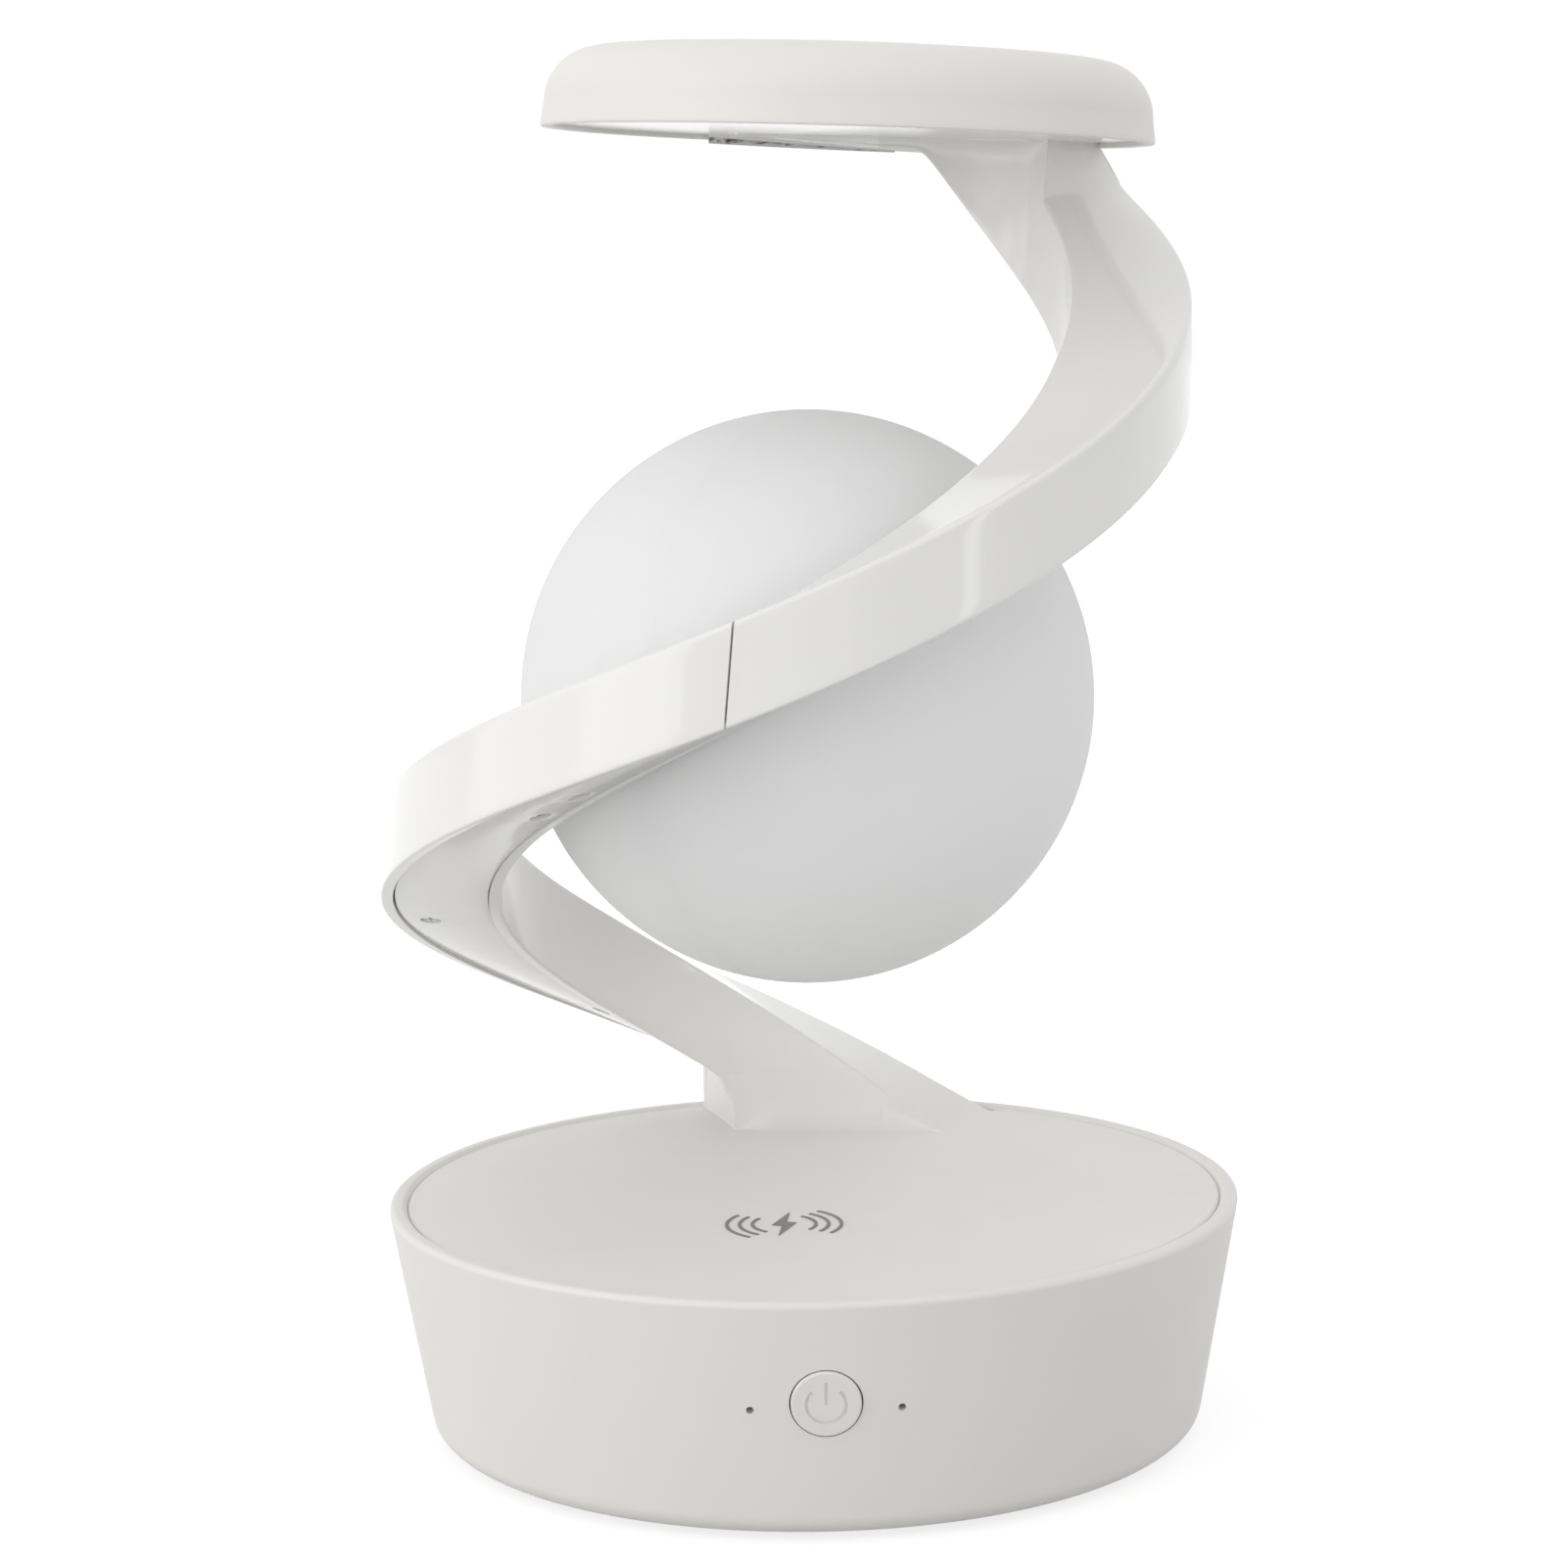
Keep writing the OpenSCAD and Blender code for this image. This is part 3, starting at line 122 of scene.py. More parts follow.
def new_tree(name, inputs):
    """An empty Geometry Nodes tree with a geometry socket at each end, and its named inputs."""
    tree = bpy.data.node_groups.new(name, "GeometryNodeTree")
    tree.interface.new_socket("Geometry", in_out="INPUT", socket_type="NodeSocketGeometry")
    for label, kind in inputs:
        tree.interface.new_socket(label, in_out="INPUT", socket_type=kind)
    tree.interface.new_socket("Geometry", in_out="OUTPUT", socket_type="NodeSocketGeometry")
    return tree, tree.nodes.new("NodeGroupInput").outputs


def close_tree(tree, geometry, material):
    real = put(tree, "GeometryNodeRealizeInstances", {"Geometry": geometry}).outputs[0]
    dressed = put(tree, "GeometryNodeSetMaterial", {"Geometry": real, "Material": material}).outputs[0]
    put(tree, "NodeGroupOutput", {0: dressed})


def stand(name, data):
    """Puts a new object into the scene."""
    piece = bpy.data.objects.new(name, data)
    bpy.context.scene.collection.objects.link(piece)
    return piece


def grow(name, mesh, tree, values):
    """Runs a tree on a mesh and keeps the result as the plain mesh of a new object."""
    piece = stand(name, mesh)
    run = piece.modifiers.new("grow", "NODES")
    run.node_group = tree
    for item in tree.interface.items_tree:
        if item.item_type == "SOCKET" and item.in_out == "INPUT" and item.name in values:
            run[item.identifier] = values[item.name]
    return applied(piece)


def applied(piece):
    """Turns a piece's modifiers into its mesh."""
    graph = bpy.context.evaluated_depsgraph_get()
    mesh = bpy.data.meshes.new_from_object(piece.evaluated_get(graph))
    piece.modifiers.clear()
    piece.data = mesh
    return piece


def settle(piece, material, sharp=32.0):
    """Merges doubles, closes holes, turns faces outwards and shades the piece smooth between sharp edges."""
    shape = bmesh.new()
    shape.from_mesh(piece.data)
    bmesh.ops.remove_doubles(shape, verts=shape.verts, dist=2e-7)
    bmesh.ops.holes_fill(shape, edges=[e for e in shape.edges if e.is_boundary], sides=0)
    bmesh.ops.recalc_face_normals(shape, faces=shape.faces)
    for face in shape.faces:
        face.smooth = True
        face.material_index = 0
    shape.to_mesh(piece.data)
    shape.free()
    piece.data.materials.clear()
    piece.data.materials.append(material)
    piece.data.set_sharp_from_angle(angle=math.radians(sharp))
    return piece


def fit(piece, body, slot, *replaced):
    """Puts a finished piece into the frame."""
    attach(piece, body)
    if replaced:
        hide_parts(*replaced)


turned, given = new_tree("turned_piece", [("Segments", "NodeSocketInt"), ("Ring Radius", "NodeSocketFloat"),
                                          ("Material", "NodeSocketMaterial")])
outline = put(turned, "GeometryNodeMeshToCurve", {"Mesh": given["Geometry"]}).outputs[0]
circle = put(turned, "GeometryNodeCurvePrimitiveCircle", {"Resolution": given["Segments"],
             "Radius": given["Ring Radius"]}).outputs[0]
lathe = put(turned, "GeometryNodeCurveToMesh", {"Curve": circle, "Profile Curve": outline}).outputs[0]
whole = put(turned, "GeometryNodeMergeByDistance", {"Geometry": lathe, "Distance": 1e-6}).outputs[0]
close_tree(turned, whole, given["Material"])


def arc_points(centre, radius, start, end, steps):
    turn = [math.radians(start + (end - start) * i / steps) for i in range(steps + 1)]
    return [(centre[0] + radius * math.cos(t), centre[1] + radius * math.sin(t)) for t in turn]


def rounded(points, steps=6, closed=True):
    """An outline whose corners (x, z, radius) become arcs."""
    line, n = [], len(points)
    for i, point in enumerate(points):
        here = Vector(point[:2])
        if len(point) < 3 or (not closed and i in (0, n - 1)):
            line.append(here)
            continue
        back = (Vector(points[i - 1][:2]) - here).normalized()
        ahead = (Vector(points[(i + 1) % n][:2]) - here).normalized()
        half = back.angle(ahead) / 2
        centre = here + (back + ahead).normalized() * point[2] / math.sin(half)
        first = here + back * point[2] / math.tan(half) - centre
        last = here + ahead * point[2] / math.tan(half) - centre
        sweep = first.angle_signed(last)
        for k in range(steps + 1):
            t = -sweep * k / steps
            line.append(centre + Vector((first.x * math.cos(t) - first.y * math.sin(t),
                                         first.x * math.sin(t) + first.y * math.cos(t))))
    return line


def ruled(line, step=2.0, edge=0.3, closed=True):
    """Adds points along an outline's long sides, with one close to each end, so that they shade flat."""
    dense, n = [], len(line)
    for i in range(n if closed else n - 1):
        a, b = Vector(line[i]), Vector(line[(i + 1) % n])
        length = (b - a).length
        dense.append(a)
        if length > 4 * edge:
            count = max(1, round((length - 2 * edge) / step))
            for k in range(count + 1):
                dense.append(a + (b - a) * (edge + (length - 2 * edge) * k / count) / length)
    if not closed:
        dense.append(Vector(line[-1]))
    return dense


RING_R = 0.1


def turn(name, line, segments, material, closed=True):
    """A turned piece from its outline (r, z) in millimetres."""
    n = len(line)
    mesh = bpy.data.meshes.new(name)
    edges = [(i, (i + 1) % n) for i in range(n if closed else n - 1)]
    mesh.from_pydata([(p[0] * MM - RING_R, -p[1] * MM, 0) for p in line], edges, [])
    return grow(name, mesh, turned, {"Segments": segments, "Ring Radius": RING_R, "Material": material})


def rod(radius, low, high, segments=96):
    """A cutting tool: a rod along Z, in millimetres."""
    shape = bmesh.new()
    bmesh.ops.create_cone(shape, cap_ends=True, segments=segments, radius1=radius * MM, radius2=radius * MM,
                          depth=(high - low) * MM, matrix=Matrix.Translation((0, 0, (low + high) / 2 * MM)))
    return shape


def slot_rod(width, height, low, high):
    """A cutting tool: a slot with round ends along Y, in millimetres."""
    shape = bmesh.new()
    side = [(s * (width - height) / 2 + height / 2 * math.cos(t), height / 2 * math.sin(t))
            for s, first in ((1, -90), (-1, 90))
            for t in [math.radians(first + 180 * k / 24) for k in range(25)]]
    near = shape.faces.new([shape.verts.new((x * MM, low * MM, z * MM)) for x, z in side])
    grown = bmesh.ops.extrude_face_region(shape, geom=[near])["geom"]
    far = [v for v in grown if isinstance(v, bmesh.types.BMVert)]
    bmesh.ops.translate(shape, vec=(0, (high - low) * MM, 0), verts=far)
    bmesh.ops.recalc_face_normals(shape, faces=shape.faces)
    return shape


def worked(name, shape, place):
    """Turns a shape into a new object's mesh, at its place."""
    mesh = bpy.data.meshes.new(name)
    shape.to_mesh(mesh)
    shape.free()
    mesh.transform(place)
    return stand(name, mesh)


def cut(piece, tools, crossing=False):
    """Cuts shapes, each with its place, out of a piece. The blades of one tool may cross."""
    cutters = []
    for shape, place in tools:
        cutter = worked("cutter", shape, place)
        cutter.hide_render = True
        knife = piece.modifiers.new("cut", "BOOLEAN")
        knife.operation, knife.solver, knife.use_self, knife.object = "DIFFERENCE", "EXACT", crossing, cutter
        cutters.append(cutter)
    applied(piece)
    for cutter in cutters:
        bpy.data.objects.remove(cutter)
    return piece


def shift(x, y, z):
    return Matrix.Translation((x * MM, y * MM, z * MM))


BUTTON_FRAME = shift(0, -wall_r(BUTTON_Z), BUTTON_Z) @ Matrix.Rotation(math.radians(90) + TAPER, 4, "X")
lower_edge = (wall_r(BASE_LIFT + 4) - 4 / math.cos(TAPER), BASE_LIFT + 4)
rim_edge = (wall_r(RIM_Z - 1) - 1 / math.cos(TAPER), RIM_Z - 1)
inner_wall = BASE_WALL / math.cos(TAPER)
seat_line = rounded([(74, RIM_Z), (SEAT_R + 0.9, RIM_Z, 0.15), (SEAT_R, RIM_Z - 0.9, 0.1), (SEAT_R, PLATE_LOW)],
                    3, False)[1:]
shell_line = ([(OPENING_R, BASE_LIFT)] + arc_points(lower_edge, 4, -90, -10, 16)
              + arc_points(rim_edge, 1, -10, 90, 8) + seat_line
              + [(LEDGE_R, PLATE_LOW), (LEDGE_R, LEDGE_LOW),
                 (wall_r(LEDGE_LOW - 4) - inner_wall, LEDGE_LOW - 4),
                 (wall_r(BASE_FLOOR + 3) - inner_wall, BASE_FLOOR + 3),
                 (wall_r(BASE_FLOOR) - inner_wall - 3, BASE_FLOOR), (OPENING_R, BASE_FLOOR)])
base_shell = turn("base_shell_skin", ruled(shell_line), 384, satin_white)
inlet_face, inlet_place = wall_r(INLET_Z), shift(0, 0, INLET_Z)
cut(base_shell, [
    (rod(BUTTON_HOLE_R, -8, 5), BUTTON_FRAME),
    (rod(PINHOLE_R, -8, 5, 32), BUTTON_FRAME @ shift(-PINHOLE_X, -PINHOLE_DROP, 0)),
    (rod(PINHOLE_R, -8, 5, 32), BUTTON_FRAME @ shift(PINHOLE_X, -PINHOLE_DROP, 0)),
    (slot_rod(INLET_W + 4, INLET_H + 4, inlet_face - 1.2, inlet_face + 6), inlet_place),
    (slot_rod(INLET_W + 0.6, INLET_H + 0.6, inlet_face - 6, inlet_face + 6), inlet_place)])
settle(base_shell, satin_white)
fit(base_shell, "lamp", "base_white", "base_shell")

# Foot ring
# A flat ring of black rubber, pressed into a groove in the bottom cover, that the lamp stands on.
# Its edges are rounded by the mould, and its skin is matte and finely pitted.
FOOT_IN, FOOT_OUT, FOOT_H = 40.61, 48.61, 1.8


def rubber_skin(tree, place):
    pits = speckle(tree, place, 1400.0, 4.0)
    colour = tint(tree, pits, (0.012, 0.012, 0.012), (0.030, 0.029, 0.028))
    return skin(tree, colour, span(tree, pits, 0.62, 0.86), relief(tree, pits, 0.5, 0.00005))


black_rubber = finish_with("black_rubber", rubber_skin)
foot_line = rounded([(FOOT_IN, 0, 0.4), (FOOT_OUT, 0, 0.4), (FOOT_OUT, FOOT_H, 0.1), (FOOT_IN, FOOT_H, 0.1)])
foot_ring = turn("foot_ring_pad", ruled(foot_line), 256, black_rubber)
settle(foot_ring, black_rubber)
fit(foot_ring, "lamp", "foot_rubber", "foot_ring")

# Charging plate
# The flat round top of the base, one moulding with the lower half of the arm. It drops into the shell's seat,
# where its bevelled edge and the shell's chamfer make the fine V groove round it.
PLATE_R, PLATE_TOP = 71.80, 41.6
plate_line = rounded([(0, PLATE_LOW), (PLATE_R, PLATE_LOW), (PLATE_R, PLATE_TOP - 0.4, 0.1),
                      (PLATE_R - 0.4, PLATE_TOP, 0.15), (0, PLATE_TOP)], 3, False)
plate = turn("charging_plate", ruled(plate_line, 4.0, 0.3, False), 320, satin_white, False)
settle(plate, satin_white)
fit(plate, "lamp", "base_white", "lower_arm")

# Spiral arm, lower half
# A glossy white channel that rises from the plate, turns round the left of the globe and ends in a butt seam
# at the front. Its section leans, narrows and steps as the stations below say, and the rims of its walls stay
# in sight.
AZ = (-205, -163, -130, -60, 0, 60, 112, 143)
TOP = (44.0, 70.0, 89.0, 125.9, 154.6, 185.5, 214.9, 243.1)
REACH = (70.4, 71.3, 73.7, 74.871, 71.8, 68.029, 65.6, 54.5)
BAND = (18.5, 18.5, 18.5, 16.4, 16.4, 16.4, 18.5, 18.5)
STEP = (-1, -1, -0.5, -1, -1, 0.3, 3.2, 5.0)
ARM_TURN, ARM_WALL, DRAFT, LEAN = -0.9, 2.2, 3.0, 3.0
FOOT_AZ, POST_AZ, SEAM_AZ, SEAM_TURN, SEAM_LEAN = -163, 112, -8, 0.24, (-2.4, -1.2)
FLANGE_R, FLANGE_LOW, FLANGE_T = 49.8, 0.8, 2.5
HEAD_X, HEAD_Z, HEAD_TILT = 9.0, 226.4, math.radians(2.8)
POST_TURN, POST_KNEE, RIDGE_END = (-4.0, 3.5), 0.69, 200
TOP_WIDTH, TOP_GAIN, FOOT_TUCK = 19.2, 1.3, 0.33


def arm_skin(tree, place):
    """Gloss over the arm's length, dull where it runs into the satin plate."""
    height = put(tree, "ShaderNodeSeparateXYZ", {0: place}).outputs["Z"]
    polish = span(tree, height, 0.0, 1.0, 0.042, 0.060, True)
    cloud = speckle(tree, place, 32.0, 3.0)
    satin = tint(tree, cloud, PLATE_SHADE, PLATE_TONE)
    gloss = tint(tree, cloud, (0.824, 0.818, 0.804), (0.834, 0.829, 0.817))
    colour = put(tree, "ShaderNodeMix", {0: polish, 6: satin, 7: gloss}, data_type="RGBA").outputs[2]
    fine = span(tree, speckle(tree, place, 60.0, 3.0), 0.13, 0.17)
    ripple = relief(tree, speckle(tree, place, 220.0, 1.0), 0.3, 0.000002)
    return skin(tree, colour, span(tree, polish, 0.46, fine), ripple,
                Coat_Weight=span(tree, polish, 0.0, 0.25), Coat_Roughness=0.06)


gloss_white = finish_with("gloss_white", arm_skin)


def slope_at(values, i):
    low, high = max(i - 1, 0), min(i + 1, len(AZ) - 1)
    return (values[high] - values[low]) / (AZ[high] - AZ[low])


def along(values, a):
    """A value of the arm at an azimuth, on a smooth curve through the stations."""
    if a <= AZ[0]:
        return values[0] + (a - AZ[0]) * slope_at(values, 0)
    if a >= AZ[-1]:
        return values[-1] + min(a - AZ[-1], 6) * slope_at(values, len(AZ) - 1)
    i = max(k for k in range(len(AZ) - 1) if AZ[k] <= a)
    w = AZ[i + 1] - AZ[i]
    t = (a - AZ[i]) / w
    return ((2 * t ** 3 - 3 * t ** 2 + 1) * values[i] + (t ** 3 - 2 * t ** 2 + t) * w * slope_at(values, i)
            + (3 * t ** 2 - 2 * t ** 3) * values[i + 1] + (t ** 3 - t ** 2) * w * slope_at(values, i + 1))


def ease(low, high, x):
    t = min(1.0, max(0.0, (x - low) / (high - low)))
    return t * t * (3 - 2 * t)


def sin_d(a):
    return math.sin(math.radians(a))


def cos_d(a):
    return math.cos(math.radians(a))


def tan_d(a):
    return math.tan(math.radians(a))


def at_azimuth(a, r, z):
    """A point of the arm in the lamp's frame, in metres."""
    return Vector((r * sin_d(a + ARM_TURN), -r * cos_d(a + ARM_TURN), z)) * MM


def flange_z(a, r):
    return HEAD_Z - (r * sin_d(a) - HEAD_X) * math.tan(HEAD_TILT) + FLANGE_LOW / math.cos(HEAD_TILT)


def flange_edge(a):
    """Radius of the head flange's edge from the lamp's axis."""
    return HEAD_X * sin_d(a) + math.sqrt(FLANGE_R ** 2 - (HEAD_X * cos_d(a)) ** 2)


def radii(a):
    """Lower outer, upper outer, upper inner and lower inner radius of the section."""
    h, ro = along(BAND, a), along(REACH, a)
    rt = ro - h * tan_d(DRAFT - LEAN * sin_d(a))
    ri = rt - (TOP_WIDTH + TOP_GAIN * ease(-110, 110, a))
    if a >= FOOT_AZ:
        ro -= FOOT_TUCK * ease(FOOT_AZ + 10, FOOT_AZ, a)
    if a > AZ[-1]:
        edge = flange_edge(a) - 0.6
        ro, rt = [r + (min(r, edge) - r) * ease(AZ[-1], AZ[-1] + 7, a) for r in (ro, rt)]
    return ro, rt, ri, ri - h * tan_d(DRAFT + LEAN * sin_d(a))


def inner_wall_r(a, z):
    """Radius of the drafted inner wall at a height."""
    return radii(a)[2] + (z - along(TOP, a) - along(STEP, a)) * tan_d(DRAFT + LEAN * sin_d(a))


def soft_floor(x, blend):
    """x where it is well above zero, and a soft run-out to zero below that."""
    return (x + math.sqrt(x * x + blend * blend)) / 2


def foot_edge(a, r, z_line, slope, bend):
    """Height of a wall's lower edge, which bends down into the upright edge over the plate."""
    pitch = math.atan(slope / (r * math.pi / 180))
    s = (a - FOOT_AZ) * r * math.pi / 180
    if s >= bend * (1 - math.sin(pitch)):
        return z_line
    z_foot = z_line - s * math.tan(pitch) + bend * (math.tan(pitch) - 1 / math.cos(pitch))
    return z_foot + math.sqrt(max(0.0, bend ** 2 - (bend - s) ** 2))


def post_edge(s, r, z_line, slope, bend):
    """Height of a top edge that bends up into the upright edge under the head, s degrees beyond it."""
    pitch = math.atan(slope / (r * math.pi / 180))
    s = s * r * math.pi / 180
    if s <= -bend * (1 - math.sin(pitch)):
        return z_line
    z_post = z_line - s * math.tan(pitch) + bend * (1 / math.cos(pitch) - math.tan(pitch))
    return z_post - math.sqrt(max(0.0, bend ** 2 - (bend + s) ** 2))


def lower_edges(a):
    """Heights of the outer and inner wall's lower edge."""
    ro, rt, ri, rl = radii(a)
    z = along(TOP, a) - along(BAND, a)
    outer, inner = z, z + along(STEP, a)
    if a < 0:
        outer = foot_edge(a, ro, outer, slope_at(TOP, 1), 3.0)
        inner = foot_edge(a, rl, inner, slope_at(TOP, 1), 10.0)
    if a > POST_AZ:
        ridge = 1.9 * (1 - max(0, a - 150) / (RIDGE_END - 150))
        blend = 1.6 * ease(POST_AZ, 130, a)
        outer = flange_z(a, rt) - ridge - soft_floor(flange_z(a, rt) - outer - ridge, blend)
        inner = flange_z(a, rl) - ridge - soft_floor(flange_z(a, rl) - inner - ridge, blend)
    return outer, inner


def upper_edges(a, past_post):
    """Heights of the outer and inner top edge."""
    ro, rt, ri, rl = radii(a)
    z = along(TOP, a)
    if a < AZ[0] + 8:
        sink = 0.4 * ease(AZ[0] + 2, AZ[0] - 9, a)
        z = PLATE_TOP + soft_floor(z - PLATE_TOP, 1.2 * ease(AZ[0] + 8, AZ[0], a)) - sink
    outer, inner = z, z + along(STEP, a) * ease(AZ[0] - 4, AZ[0] + 4, a)
    if a > 90:
        outer = post_edge(past_post, rt, outer, slope_at(TOP, 6), 7.0)
        inner = post_edge(past_post, ri, inner, slope_at(TOP, 6), 1.6)
    return outer, inner


def corner(before, here, after, radius, steps=6):
    """The points of one rounded corner of the arm's section."""
    here, back, ahead = Vector(here), Vector(before), Vector(after)
    back, ahead = (back - here).normalized(), (ahead - here).normalized()
    if back.angle(ahead) > math.radians(177):
        return [here + (ahead - back).normalized() * radius * (k / steps - 0.5) for k in range(steps + 1)]
    return rounded([here + back, (here.x, here.y, radius), here + ahead], steps, False)[1:-1]


def hollow_corner(foot, wall, steps=6):
    """The points of a fillet from a wall to the face that it stands on, as a quarter ellipse."""
    return [Vector((foot[0] + (wall[0] - foot[0]) * math.sin(t), wall[1] + (foot[1] - wall[1]) * math.cos(t)))
            for t in [math.pi / 2 * k / steps for k in range(steps + 1)]]


def between(a, b, count):
    a, b = Vector(a), Vector(b)
    return [a + (b - a) * (k + 1) / (count + 1) for k in range(count)]


def section(a, part="band", skew=0.0):
    """The channel's section at an azimuth, as points (r, z): rims, walls and top, then the hollow inside."""
    past_post, a = a - POST_AZ, a + skew
    ro, rt, ri, rl = radii(a)
    w = ARM_WALL
    low_o, low_i = lower_edges(a)
    top_o, top_i = upper_edges(a, past_post)
    crest, lift, reach = along(TOP, a), 0.0, rt
    if part == "root":
        low_o = low_i = PLATE_TOP - 0.3
    if past_post > -12:
        lean = flange_edge(a) - 0.3
        under_head, lift = flange_z(a, lean) + 0.8, top_o - crest
        if part == "post":
            reach, top_o, top_i = min(rt, lean), under_head, flange_z(a, ri) + 0.8
        elif lean < rt:
            reach = rt - (rt - lean) * lift / (under_head - crest)
    if a > AZ[0] + 8:
        ri, rl = inner_wall_r(a, top_i), inner_wall_r(a, low_i)
    room = min(top_o - low_o, top_i - low_i)
    out_low, out_top, in_top, in_low = (ro, low_o), (reach, top_o), (ri, top_i), (rl, low_i)
    mid = Vector(((ro + rt) / 2, (low_o + top_o) / 2))
    if part == "post":
        mid = Vector((rt, low_o + POST_KNEE * (top_o - low_o)))
    elif lift > 0:
        mid = mid.lerp(Vector((rt, crest)), ease(0.3, 3.0, lift))
    rim = (ro - w, low_o)
    rise = min(1.0, 0.3 * room)
    if part == "root":
        f = min(0.28, 0.3 * room) * (0.02 + 0.98 * ease(FOOT_AZ, FOOT_AZ - 3, a))
        outer_low = [Vector((ro + f, low_o))] + hollow_corner((ro + f, PLATE_TOP), (ro, PLATE_TOP + f))
    else:
        outer_low = [Vector((ro - 1.0, low_o))] + corner(rim, out_low, mid, min(0.5, 0.2 * room))
    outer_mid = corner(out_low, mid, out_top, 4.0 if part == "post" else 1.0 + 3.0 * ease(0.3, 3.0, lift), 6)
    outer_top = corner(mid, out_top, in_top, 0.3 if part == "post" else rise)
    if part == "post":
        f = min(3.0, 0.45 * room) * (0.02 + 0.98 * ease(0, 7, past_post))
        zf = flange_z(a, ri)
        inner_top = [Vector((ri - f, top_i))] + list(hollow_corner((ri - f, zf), (ri, zf - f)))
    else:
        inner_top = [Vector((ri + 1.5 * rise, top_i + (top_o - top_i) * 1.5 * rise / (reach - ri)))]
        inner_top += corner(out_top, in_top, in_low, 0.8 * rise)
    if part == "root":
        f = min(5.0, 0.6 * room) * (0.004 + 0.996 * ease(FOOT_AZ, FOOT_AZ - 9, a))
        inner_low = list(reversed(hollow_corner((rl - f, PLATE_TOP), (rl, PLATE_TOP + f))))
        inner_low.append(Vector((rl - f, low_i)))
    else:
        inner_low = corner(in_top, in_low, (rl + w, low_i), min(0.5, 0.2 * room))
        inner_low.append(Vector((rl + 1.0, low_i)))
    depth = min(w, 0.4 * room)
    hollow = [Vector(p) for p in ((rl + w, low_i), (ri + w, top_i - depth), (reach - w, top_o - depth), rim)]
    return (outer_low + between(outer_low[-1], outer_mid[0], 3) + outer_mid
            + between(outer_mid[-1], outer_top[0], 3) + outer_top
            + between(outer_top[-1], inner_top[0], 8) + inner_top
            + between(inner_top[-1], inner_low[0], 8) + inner_low + hollow)


def swept(name, rings):
    """A closed solid through a row of rings of equal length."""
    n = len(rings[0])
    points = [p for ring in rings for p in ring]
    faces = [(i * n + k, i * n + (k + 1) % n, (i + 1) * n + (k + 1) % n, (i + 1) * n + k)
             for i in range(len(rings) - 1) for k in range(n)]
    faces += [tuple(range(n)), tuple((len(rings) - 1) * n + k for k in reversed(range(n)))]
    mesh = bpy.data.meshes.new(name)
    mesh.from_pydata(points, [], faces)
    return stand(name, mesh)


def stations(low, high, step):
    n = max(1, math.ceil((high - low) / step))
    return [low + (high - low) * i / n for i in range(n + 1)]


def seam_slant(a, share):
    """How far the rings turn at the butt seam, from the arm's lower edge to its top, so that it leans."""
    near = ease(SEAM_AZ - 12, SEAM_AZ - 1, a) * ease(SEAM_AZ + 12, SEAM_AZ + 1, a)
    return near * (SEAM_LEAN[0] + (SEAM_LEAN[1] - SEAM_LEAN[0]) * share)


def rings_at(azimuths, part="band"):
    """Rings of the arm's section. They turn at the upright face under the head and at the leaning seam."""
    rings = []
    for a in azimuths:
        line = section(a, part)
        rt, low = radii(a)[1], lower_edges(a)[0]
        weight = ease(POST_AZ - 14, POST_AZ - 2, a) * ease(POST_AZ + 14, POST_AZ + 2, a)
        ring = []
        for k, point in enumerate(line):
            inner = inner_wall_r(a, point[1])
            across = min(1.0, max(0.0, (point[0] - inner) / (rt - inner)))
            skew = weight * (POST_TURN[0] + (POST_TURN[1] - POST_TURN[0]) * across)
            skew += seam_slant(a, (point[1] - low) / (along(TOP, a) - low))
            r, z = section(a, part, skew)[k] if skew else point
            ring.append(at_azimuth(a + skew, r, z))
        rings.append(ring)
    return rings


foot_steps = [FOOT_AZ + s for s in (0, 0.03, 0.1, 0.22, 0.4, 0.65, 0.95, 1.3, 1.7, 2.2, 2.8, 3.4, 4.1, 4.8,
                                    5.4, 6)]
root_steps = (stations(-214, -205, 0.5) + stations(-204, FOOT_AZ - 7, 1.0)[:-1]
              + stations(FOOT_AZ - 7, FOOT_AZ - 0.02, 0.6))
lower_arm = swept("lower_arm_channel", rings_at(root_steps, "root")
                  + rings_at(foot_steps + stations(FOOT_AZ + 7, SEAM_AZ, 1.0)))
settle(lower_arm, gloss_white)
fit(lower_arm, "lamp", "arm_white", "lower_arm")

# Upright wall over the plate
# The part of the lower arm's moulding that closes the channel's end above the plate. It stands back from the
# rims of the side walls and bends with them into the underside.
COVER_INSET, COVER_T, COVER_GAP = 0.4, 2.0, (0.05, 0.10)
COVER_FROM, COVER_TO = -160.5, 135


def strip_edges(a, low, gap=COVER_GAP):
    """The two edges of the band between the rims, at a height over them: outer and inner (r, z)."""
    ro, rt, ri, rl = radii(a)
    low_o, low_i = lower_edges(a)
    top = along(TOP, a)
    lean_o = (ro - rt) * low / (top - low_o - ARM_WALL)
    lean_i = (ri - rl) * low / (top - low_i - ARM_WALL)
    return (ro - ARM_WALL - lean_o - gap[0], low_o + low), (rl + ARM_WALL + lean_i + gap[1], low_i + low)


def named(tree, label, kind):
    """A value that the points carry under a name."""
    return put(tree, "GeometryNodeInputNamedAttribute", {"Name": label}, data_type=kind).outputs[0]


